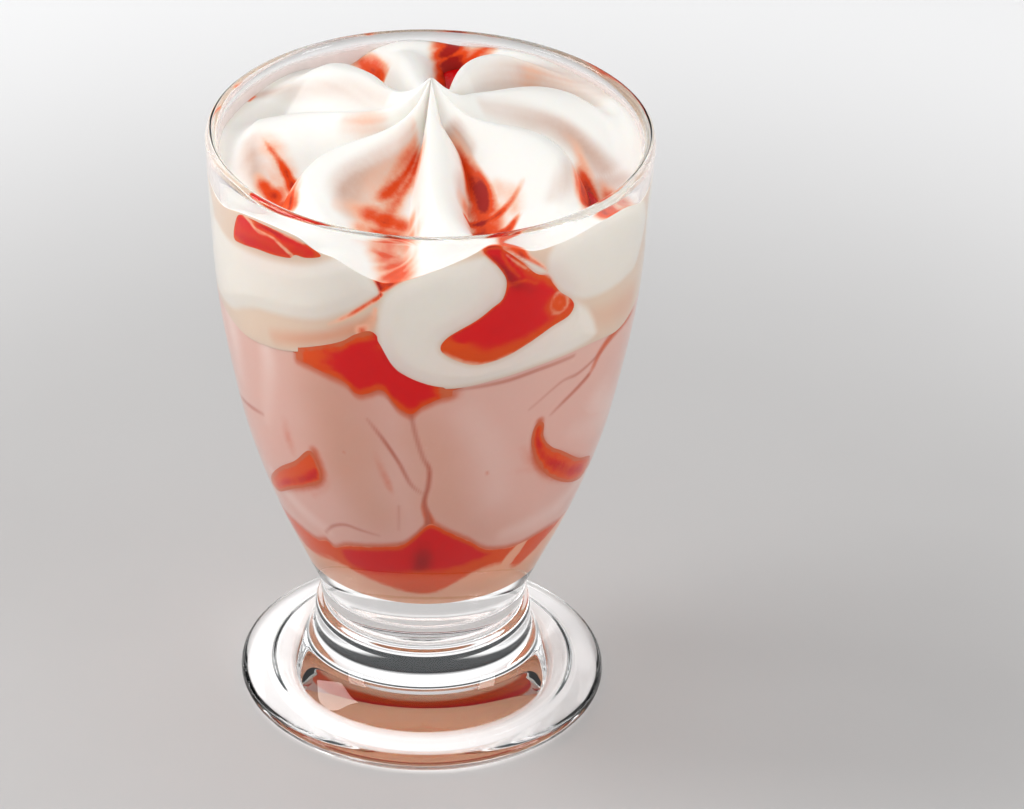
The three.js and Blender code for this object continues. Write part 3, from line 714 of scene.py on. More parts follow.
iceCreamLook = {
    "reach": 0.25,  # into the glass
    "overlap": 1.2,  # behind the sauce below and above it
    "rim": 1.2,
    "middle": (36.5, 83.5),
    "bottomStain": (-0.2, 2.2, 0.72),
    "middleStain": (-0.2, 2.4, 0.72),
    "middleFrom": (1.0, 1.7),  # depths of the middle sauce between which its stain sets in
    "surface": {
        "Roughness": 0.6,
        "Specular IOR Level": 0.0,
        "Subsurface Weight": 0.2,
        "Subsurface Scale": 2 * mm,
        "Subsurface Radius": (1.0, 0.5, 0.4),
    },
    "cloud": (16,),  # as the size of the spots in mm, detail and roughness
    "grain": (1.1, 3.0, 0.6),
    "warmParts": (0.5, 0.8),  # shares of the clouds and of the warm strokes
    "warmFrom": (0.25, 0.95),
    "stainGrain": 0.18,
    "stainFrom": (0.08, 0.95),
    "frostFrom": (0.62, 0.8),
    "frostShare": 0.12,
    "bump": (0.12, 0.3),  # height and strength
    "frost": tone(235, 214, 205),
    "pink": tone(220, 182, 171),
    "warm": tone(211, 166, 148),
    "pale": tone(230, 206, 198),
    "stain": tone(204, 96, 52),
    "seam": tone(184, 106, 86),
    "seams": [  # angle, height, half width, strength
        [(-4.2, 74.9, 0.7, 0.6), (-2.8, 70.2, 0.7, 0.6), (-0.7, 65.5, 0.7, 0.6), (1.2, 62.8, 0.75, 0.9),
         (1.0, 58.9, 0.8, 0.9), (-0.1, 55.5, 0.8, 0.9), (1.2, 52.1, 0.9, 1.0), (1.3, 49.7, 1.2, 1.0)],
        [(-16.7, 72.8, 0.6, 0.3), (-12, 68.6, 0.7, 0.8), (-7.9, 64.1, 0.7, 0.8), (-4.3, 59.3, 0.7, 0.6),
         (-0.5, 57.2, 0.6, 0.3)],
        [(-39.3, 42.8, 0.7, 0.4), (-34.4, 45.4, 0.7, 0.6), (-28.7, 46.8, 0.7, 0.6), (-23.1, 46.5, 0.7, 0.5),
         (-16.1, 46, 0.6, 0.25)],
        [(-80, 61.4, 0.8, 0.4), (-76.3, 61.9, 0.9, 0.8), (-65.7, 63.4, 0.9, 0.8), (-57.4, 64.5, 0.8, 0.4)],
        [(51.4, 75.6, 0.8, 0.8), (42.4, 72.4, 0.8, 0.6), (38.4, 70.7, 0.7, 0.3)],
        [(56, 79.1, 0.7, 0.6), (46.7, 77.3, 0.7, 0.6), (39.9, 77.0, 0.6, 0.4), (30.3, 73.4, 0.6, 0.25)],
        [(8, 80.0, 0.6, 0.4), (21.7, 80.6, 0.7, 0.7), (31.8, 81.4, 0.7, 0.7), (43.7, 81.6, 0.7, 0.5)],
        [(-8.3, 54.0, 0.6, 0.3), (-8.7, 48.2, 0.6, 0.2)],
        [(118, 79, 0.7, 0.5), (121, 72, 0.8, 0.8), (118, 65, 0.8, 0.8), (122, 58, 0.8, 0.8),
         (121, 51, 1.0, 1.0), (124, 45, 1.4, 1.0)],
        [(150, 74, 0.6, 0.3), (146, 68, 0.7, 0.7), (139, 62, 0.7, 0.7), (132, 57, 0.7, 0.3)],
        [(240, 79, 0.7, 0.4), (236, 72, 0.8, 0.8), (239, 65, 0.8, 0.7), (235, 57, 0.8, 0.8),
         (238, 50, 0.9, 0.9), (236, 43, 1.2, 1.0)],
        [(262, 74, 0.6, 0.3), (257, 69, 0.7, 0.6), (251, 65, 0.7, 0.6), (244, 62, 0.6, 0.3)],
        [(96, 76, 0.7, 0.4), (100, 70, 0.7, 0.6), (107, 65, 0.7, 0.3)],
        [(176, 61, 0.7, 0.3), (183, 58, 0.7, 0.6), (190, 57.4, 0.7, 0.4)],
    ],
    "stains": [
        [(0.4, 56.5, 0.9, 0.4), (-0.2, 54, 1.3, 0.7), (1.9, 50.5, 2.0, 1.0), (2.2, 47, 3.0, 1.0)],
        [(-15.1, 65.6, 1.8, 0.2), (-13.1, 61.9, 2.0, 0.4), (-11.1, 58.4, 1.8, 0.45), (-10, 56.5, 1.2, 0.2)],
        [(-46, 66.5, 2.6, 0.25), (-45.9, 62.7, 3.0, 0.42), (-45.2, 59.9, 2.4, 0.3)],
        [(76, 81, 1.6, 0.5), (71.2, 81.1, 1.8, 0.8), (61.7, 81.0, 2.0, 0.9), (55.4, 79.2, 1.8, 0.8),
         (51.4, 75.4, 1.4, 0.5), (42.4, 72.4, 1.2, 0.3)],
        [(-35.6, 62.4, 2.4, 0.7), (-36.6, 57.4, 4.4, 1.1), (-44, 54.4, 4.6, 1.1), (-54, 51, 3.8, 1.0),
         (-64, 47.6, 2.8, 0.8)],
        [(-33.4, 61, 1.8, 0.25), (-33.0, 56, 2.4, 0.35), (-40, 51.6, 2.4, 0.3)],
        [(34.6, 70, 1.8, 0.8), (35, 65.6, 2.8, 1.0), (38.4, 61, 4.0, 1.1), (46, 57.4, 4.8, 1.1),
         (58, 53.6, 4.2, 1.1), (69, 51, 3.2, 0.9), (76, 50.4, 2.0, 0.4)],
        [(121, 54, 1.4, 0.5), (122, 49, 2.2, 0.9), (124, 46, 3.0, 1.0)],
        [(237, 52, 1.4, 0.5), (236.6, 47, 2.2, 0.9), (236, 43.5, 3.0, 1.0)],
        [(150, 72, 2.4, 0.3), (146, 67, 2.8, 0.45), (140, 62, 2.0, 0.3)],
        [(194.6, 68, 2.0, 0.5), (198, 64, 3.6, 0.9), (206, 59.4, 4.2, 1.1), (217, 56.6, 4.0, 1.1),
         (229, 56.2, 2.8, 0.9), (236, 57, 1.6, 0.4)],
        [(185, 72, 2.6, 0.3), (189, 67, 3.4, 0.45), (193, 62, 2.6, 0.3)],
        [(92, 68, 3.0, 0.3), (97, 61, 3.4, 0.4), (94, 54, 3.0, 0.3)],
        [(160, 56, 1.8, 0.4), (170, 54, 2.4, 0.5), (178, 55, 1.6, 0.3)],
        [(30, 65, 2.4, 0.25), (34, 62, 3.4, 0.45), (40, 59, 3.4, 0.5), (50, 54.6, 2.6, 0.45),
         (64, 51, 2.4, 0.35)],
        [(27, 60, 1.6, 0.15), (34, 59.6, 2.4, 0.3), (42, 57.6, 2.0, 0.3)],
        [(19.1, 61.2, 0.9, 0.45), (19.3, 60.8, 0.9, 0.45)],
        [(-25, 64.4, 0.8, 0.4), (-24.8, 64.3, 0.8, 0.4)],
    ],
    "pales": [
        [(-50.7, 83.8, 3.2, 0.9), (-49.5, 78.1, 3.4, 0.7), (-52, 71, 3.4, 0.4), (-56, 64, 2.8, 0.25)],
        [(-70, 82, 5.0, 0.9), (-68, 76, 4.4, 0.7), (-70, 70, 4, 0.4)],
        [(-62, 50, 3.0, 0.5), (-50, 46, 3.4, 0.6), (-38, 43.6, 2.6, 0.4)],
        [(30, 45, 3.0, 0.4), (55, 46, 4.4, 0.6), (66, 50, 4, 0.5)],
        [(60, 68, 6.0, 0.5), (70, 62, 6.0, 0.5), (50, 64, 4, 0.25)],
        [(12, 74, 5, 0.25), (20, 66, 5.4, 0.3), (24, 56, 5, 0.25)],
        [(132, 74, 5, 0.5), (136, 65, 5.4, 0.45), (134, 55, 4.4, 0.4)],
        [(210, 77, 5, 0.5), (215, 69, 5, 0.4)],
        [(224, 50, 4, 0.5), (208, 48, 4, 0.4)],
        [(158, 50, 3.4, 0.4), (148, 47, 3.4, 0.5)],
        [(268, 62, 5, 0.5), (273, 52, 5, 0.5), (266, 46, 3.4, 0.4)],
        [(84, 74, 4.4, 0.5), (88, 62, 4.4, 0.4), (86, 48, 4, 0.5)],
    ],
    "warmths": [
        [(-28, 85, 13, 0.4), (-27, 74, 15, 0.7), (-24, 62, 15, 0.7), (-18, 52, 13, 0.6)],
        [(0, 78, 11, 0.4), (3, 66, 12, 0.55), (6, 56, 13, 0.6), (16, 48, 12, 0.5), (34, 46, 9, 0.3)],
        [(160, 82, 13, 0.5), (166, 68, 14, 0.7), (162, 55, 13, 0.6)],
        [(250, 78, 12, 0.5), (248, 64, 13, 0.7), (250, 52, 12, 0.6)],
        [(106, 76, 12, 0.5), (102, 62, 12, 0.6), (108, 50, 10, 0.5)],
    ],
}


def iceCreamFinish():
    finish = Finish("strawberryIceCream")
    cloud = finish.noise(*iceCreamLook["cloud"])
    grain = finish.noise(*iceCreamLook["grain"])
    cloudShare, strokeShare = iceCreamLook["warmParts"]
    warm = finish.fade(
        cloud * cloudShare + finish.field("warmth") * strokeShare, *iceCreamLook["warmFrom"]
    )
    stain = finish.field("stain") + (grain - 0.5) * iceCreamLook["stainGrain"]
    frost = finish.fade(grain, *iceCreamLook["frostFrom"]) * iceCreamLook["frostShare"]
    colour = finish.blend(warm, iceCreamLook["pink"], iceCreamLook["warm"])
    colour = finish.blend(finish.field("pale").atMost(1.0), colour, iceCreamLook["pale"])
    colour = finish.blend(finish.fade(stain, *iceCreamLook["stainFrom"]), colour, iceCreamLook["stain"])
    colour = finish.blend(finish.field("seam").atMost(1.0), colour, iceCreamLook["seam"])
    colour = finish.blend(frost, colour, iceCreamLook["frost"])
    normal = finish.bump(grain, *iceCreamLook["bump"])
    return finish.coated(iceCreamLook["surface"], **{"Base Color": colour, "Normal": normal})


def makeIceCream():
    overlap, rim = iceCreamLook["overlap"], iceCreamLook["rim"]
    low = sauceBottomEdge(columnAngles) - overlap
    high = creamFootEdge(columnAngles) - middleSauceEdge(columnAngles) + overlap
    rows = [inwards(low, rim), *sideRows(low, high, iceCreamLook["reach"]), inwards(high, rim)]
    shell = ringShell(rows, *((0, 0, z) for z in iceCreamLook["middle"]))
    marks = wallStrokes(iceCreamLook["stains"])

    def stain(angle, z):
        depth = middleSauceEdge(angle)
        nearBottom = fadeOut(z - sauceBottomEdge(angle), *iceCreamLook["bottomStain"])
        nearMiddle = fadeOut(creamFootEdge(angle) - depth - z, *iceCreamLook["middleStain"])
        nearMiddle = nearMiddle * smooth(*iceCreamLook["middleFrom"], depth)
        return np.max([marks(angle, z), nearBottom, nearMiddle], axis=0)

    wallFieldsOf(shell, {
        "seam": wallStrokes(iceCreamLook["seams"]),
        "stain": stain,
        "pale": wallStrokes(iceCreamLook["pales"]),
        "warmth": wallStrokes(iceCreamLook["warmths"]),
    })
    makePiece("iceCream", [shell], [iceCreamFinish()], ["ice_cream"])


makeIceCream()

swirl = {
    "peak": 120.5,
    "neck": 5.0,  # radius over which the steep fall round the peak eases
    # how far crests and grooves fall, round the peak and then out to the width
    "crestFall": (7.5, 8.0),
    "grooveFall": (14.5, 6.0),
    "width": 36.0,
    "tip": 0.5,  # blunts the peak out to tipReach
    "tipReach": 4.0,
    "span": 45.0,  # share of the circle that each petal's points take
    "start": 4.5,
    "contactStart": 30.0,  # radius where the top begins to settle towards its edge on the glass
    "contact": (104.0, 0.6, 0.2),  # height; the cream meets the glass and ends this far inside it
    "riseFrom": (6, 34),
    "ripple": {
        "height": 0.16,
        "size": 5.0,
        "waves": 2.2,
        "from": (3, 12),
        "ways": [(1.0, 0.6, 0.3), (-0.5, 1.1, 0.7), (0.8, -0.9, 1.2), (0.3, 0.4, -1.3)],
    },
    "streaks": (41, 58, 77, 103),  # numbers of fine lines round the swirl
    "streakTurn": (0.25, 0.1),  # how fast the first of them turn, and how much faster the next
    "radii": (8, 7.6, 0.15),  # the rows of points lie closer together from the second of these to the third
    "rowCounts": (68, 32),
    "foot": (1.2, 0.2),  # how far its foot goes inwards, and how much higher
    "hollow": (88, 0.6),  # height of the underside in the middle, and how far below the peak it closes
    # crest and the groove after it, as (radius, angle); plump and hollow shape the slope to the groove
    # before the crest and the one after it; rise lifts the grooves towards the glass
    "petals": {
        "front": {
            "crest": [(4, -4), (10, -1), (15, 0), (20, 1), (25, 3), (29.6, 6.5), (32, 10.5), (35.5, 16)],
            "groove": [
                (4, 28), (7, 38), (10.7, 33), (15.4, 25), (20, 19), (24.3, 17), (28, 18), (31, 20.5),
                (35.5, 24),
            ],
            "depth": 1.0, "plump": (1.7, 2.2), "hollow": (1.2, 1.1), "rise": 0.0,
        },
        "frontRight": {
            "crest": [
                (3.2, 58), (6.2, 60), (9, 66), (13, 73), (18, 74), (22, 68), (25, 60), (27.5, 52), (30, 44),
                (32.5, 40), (35.5, 38),
            ],
            "groove": [
                (4, 75), (9, 92), (13, 102), (18, 104), (22, 96), (25, 84), (27.5, 75), (30, 67),
                (32.5, 64), (35.5, 64),
            ],
            "depth": 1.05, "plump": (1.4, 2.4), "hollow": (1.0, 1.3), "rise": 0.4,
        },
        "right": {
            "crest": [
                (4, 112), (9, 130), (15.5, 131), (22, 130), (28, 127), (31, 121), (33, 112), (35.5, 99),
            ],
            "groove": [(4, 128), (9, 146), (15, 149), (22, 149), (28, 146), (32, 137), (35.5, 128)],
            "depth": 0.85, "plump": (1.5, 2.6), "hollow": (1.5, 1.2), "rise": 0.6,
        },
        "backRight": {
            "crest": [(4, 142), (10, 156), (17, 161), (24, 161), (30, 156), (35.5, 146)],
            "groove": [(4, 160), (12, 170), (20, 173), (28, 172), (35.5, 172)],
            "depth": 1.0, "plump": (1.6, 2.6), "hollow": (1.9, 1.0), "rise": 3.0,
        },
        "back": {
            "crest": [(4, 182), (12, 188), (20, 189), (28, 189), (35.5, 188)],
            "groove": [(4, 208), (12, 203), (20, 200), (28, 199), (35.5, 199)],
            "depth": 0.85, "plump": (2, 2.4), "hollow": (1.0, 1.0), "rise": 2.0,
        },
        "backLeft": {
            "crest": [(4, 232), (12, 221), (20, 216), (28, 217), (35.5, 222)],
            "groove": [(4, 258), (12, 243), (20, 238), (28, 237), (35.5, 240)],
            "depth": 0.8, "plump": (2.4, 1.8), "hollow": (1.0, 1.9), "rise": 2.2,
        },
        "left": {
            "crest": [(4, 285), (12, 268), (20, 260), (28, 260), (35.5, 264)],
            "groove": [
                (4, 310), (9, 300), (15, 291), (20, 290), (25, 295), (29, 301), (32, 307), (35.5, 310),
            ],
            "depth": 1.0, "plump": (1.6, 1.9), "hollow": (1.4, 2.0), "rise": 0.6,
        },
        "frontLeft": {
            "crest": [
                (3.5, 326), (8.5, 317), (14.7, 306), (20, 304), (25, 310), (28, 315), (31, 322), (33, 328),
                (35.5, 332),
            ],
            "groove": [
                (4.5, 346), (8, 346), (11.6, 347), (16.2, 349), (20.6, 350.5), (25, 352), (29, 352),
                (32, 351), (35.5, 350),
            ],
            "depth": 1.0, "plump": (2.6, 1.9), "hollow": (1.0, 2.6), "rise": 0.4,
        },
    },
}


def fallingHeight(radius, fall):
    neckDrop = fall[0] * (1 - np.exp(-radius / swirl["neck"]))
    return swirl["peak"] - neckDrop - fall[1] * (radius / swirl["width"]) ** 2


petals = list(swirl["petals"].values())
petalCrests = [throughStations(petal["crest"]) for petal in petals]
petalGrooves = [throughStations(petal["groove"]) for petal in petals]
petalDepths = np.array([petal["depth"] for petal in petals])
petalRises = np.array([petal["rise"] for petal in petals])
shapeBefore, shapeAfter = (
    np.array([(petal["plump"][side], petal["hollow"][side]) for petal in petals]) for side in (0, 1)
)


phaseStep = 1.7  # keeps waves that are added up from lining up


def ripple(x, y, z):  # a smooth uneven value from -1 to 1
    look = swirl["ripple"]
    total = np.zeros(np.shape(x))
    for i, (a, b, c) in enumerate(look["ways"]):
        total += np.sin((a * x + b * y + c * z) / look["size"] * look["waves"] + phaseStep * i)
    return total / len(look["ways"])


def creamPoint(radius, columnAngle):  # a row of points at one radius
    angle = np.where(columnAngle < swirl["start"], columnAngle + 360, columnAngle)
    turn = (angle - swirl["start"]) / swirl["span"]
    index = np.floor(turn).astype(int)
    across = turn - index
    r = math.hypot(radius, swirl["tip"] * (1 - float(smooth(0, swirl["tipReach"], radius))))
    crests = np.array([float(crest(r)) for crest in petalCrests])
    grooves = np.array([float(groove(r)) for groove in petalGrooves])
    following = (index + 1) % len(petals)
    nextCrest = crests[following] + np.where(following == 0, 360, 0)
    isAfter = across < 0.5
    swirlAngle = np.where(
        isAfter,
        mix(crests[index], grooves[index], 2 * across),
        mix(grooves[index], nextCrest, 2 * across - 1),
    )
    fromCrest = np.where(isAfter, 2 * across, 2 - 2 * across)
    plump, hollow = np.where(isAfter[:, None], shapeAfter[index], shapeBefore[following]).T
    ridge = 1 - petalDepths[index] * (1 - (1 - fromCrest ** plump) ** hollow)
    height = mix(fallingHeight(r, swirl["grooveFall"]), fallingHeight(r, swirl["crestFall"]), ridge)
    rise = np.where(isAfter, petalRises[index], petalRises[following])
    height = height + rise * (1 - fromCrest ** 2) * float(smooth(*swirl["riseFrom"], r))
    contactHeight, gap, _ = swirl["contact"]
    contactRadius = float(innerRadius(contactHeight)) - gap
    settled = float(smooth(swirl["contactStart"], contactRadius, radius))
    z = mix(height, creamContactEdge(angle), settled)
    points = place(mix(swirlAngle, angle, settled), radius, z)
    waves = swirl["ripple"]
    points[..., 2] += (
        waves["height"] * ripple(*points.T) * (1 - settled) * float(smooth(*waves["from"], radius))
    )
    return points


def streaksOf(angle, radius):  # fine lines that run with the petals
    total = np.zeros(np.shape(angle))
    first, faster = swirl["streakTurn"]
    for i, lines in enumerate(swirl["streaks"]):
        total += np.sin(np.radians(lines * angle) + radius * (first + faster * i) + phaseStep * i)
    return total / len(swirl["streaks"])


lobes = {  # where the cream is pressed on the glass, as (angle, height)
    "front": [
        (18.4, 106.5), (2.9, 104.8), (-7.3, 101.3), (-11.7, 98.3), (-13.3, 94.3), (-13.6, 90.4),
        (-12.3, 86.5), (-8.5, 83.8), (-1.8, 81.5), (6.4, 80.4), (20, 81.4), (32, 82.4), (50.7, 83.2),
        (51.6, 85.7), (48, 89.9), (43, 93), (36, 99), (24, 105),
    ],
    "left": [
        (-62, 97.6), (-35, 101), (-23, 104.8), (-17.8, 104.4), (-14.6, 101.8), (-12.4, 98.8), (-15, 97),
        (-20.7, 94.0), (-29.5, 90.8), (-39, 89.2), (-50.6, 87.6), (-58, 85.6), (-66, 83), (-78, 82.4),
        (-88, 84), (-90, 92), (-84, 97.5), (-74, 98),
    ],
    "right": [
        (36, 106.8), (32.2, 104.5), (31.6, 101.4), (34.7, 97.1), (38.5, 94.6), (45.2, 92.2), (53.8, 91.2),
        (64.2, 90.9), (72.4, 91.4), (78, 98), (70, 105), (52, 107.8),
    ],
    "backRight": [
        (80, 104), (79, 97), (82, 91.5), (89, 88), (98, 86), (108, 85.4), (116, 87), (121, 90), (119, 93),
        (112, 94.2), (110, 97.5), (114, 101.5), (112, 105), (100, 106.5), (88, 106),
    ],
    "back": [
        (148, 107), (144, 101), (145, 95), (150, 91.4), (158, 90.4), (168, 88.6), (178, 86.6), (187, 87.6),
        (192, 92.5), (189, 97.5), (182, 101), (177, 104), (168, 106.6), (156, 107.6),
    ],
    "backLeft": [
        (200, 106), (197, 101), (200, 95.5), (206, 91.4), (214, 88.4), (224, 85), (236, 84), (246, 86),
        (251, 91), (249, 96.6), (242, 99.4), (234, 103.4), (220, 106),
    ],
    "farLeft": [
        (256, 104), (253, 98), (255, 91.5), (261, 87), (269, 85), (277, 86), (283, 90), (285, 96),
        (281, 101.5), (270, 104.4),
    ],
}

pockets = {  # sauce behind the glass, with its outline as (angle, height)
    "front": {
        "piece": "frontSauce", "node": "sauce_front", "depth": 8.0, "smeared": False,
        "outline": [
            (14.0, 107.0), (17.4, 104.2), (20.4, 100.8), (19.8, 97.4), (16.9, 95.7), (13, 93.7), (8, 91.8),
            (5.2, 90.5), (3.6, 89), (4.2, 87.6), (8, 85.9), (13.5, 84.8), (20.9, 85.6), (27.4, 87.3),
            (34.6, 89.4), (40.1, 90.4), (41.8, 92), (40.3, 93.8), (36.8, 95.8), (34.4, 97.8), (32.2, 99.8),
            (28.6, 101.0), (24.4, 103.8), (20.8, 106.0), (17.4, 107.4),
        ],
    },
    "left": {
        "piece": "leftSauce", "node": "sauce_left", "depth": 6.0, "smeared": False,
        "outline": [
            (-61.4, 98.6), (-59.6, 102.6), (-57, 104.4), (-51, 105.1), (-43, 105.5), (-36, 105.4),
            (-31.5, 104.7), (-28.6, 103.6), (-33, 102.4), (-36.4, 102.2), (-38.4, 101.2), (-44, 100.4),
            (-50.3, 99.8), (-56.6, 98.8),
        ],
    },
    "back": {
        "piece": "backPocketSauce", "node": "sauce_pocket_back", "depth": 7.0, "smeared": False,
        "outline": [
            (128, 103), (140, 100), (147, 96), (141, 91.5), (126, 91), (115, 94.5), (119, 98.5),
            (127, 99.5),
        ],
    },
    "leftWedge": {
        "piece": "leftWedgeSauce", "node": "sauce_wedge_left", "depth": 4.0, "smeared": True,
        "outline": [
            (-38, 62), (-35.4, 60.4), (-34.6, 56.2), (-41.5, 53.2), (-50, 50.4), (-64, 45.8), (-69.5, 46.6),
            (-55, 53.8), (-45, 58),
        ],
    },
    "rightCrescent": {
        "piece": "rightCrescentSauce", "node": "sauce_crescent_right", "depth": 4.0, "smeared": True,
        "outline": [
            (34, 69.8), (36.2, 69.2), (36.8, 66.6), (38.6, 64.6), (42, 62.6), (46, 61), (57, 56.4),
            (68.5, 53.2), (69.5, 49.2), (62, 49.8), (52, 52.4), (43, 56.0), (38.0, 59.4), (35.0, 62.2),
            (32.8, 65.6), (32.8, 68.4),
        ],
    },
    "backStreak": {
        "piece": "backStreakSauce", "node": "sauce_streak_back", "depth": 4.0, "smeared": True,
        "outline": [
            (193, 67), (199, 66), (203, 62), (214, 58.6), (228, 57.6), (228, 55), (212, 54.4), (198, 58),
        ],
    },
}

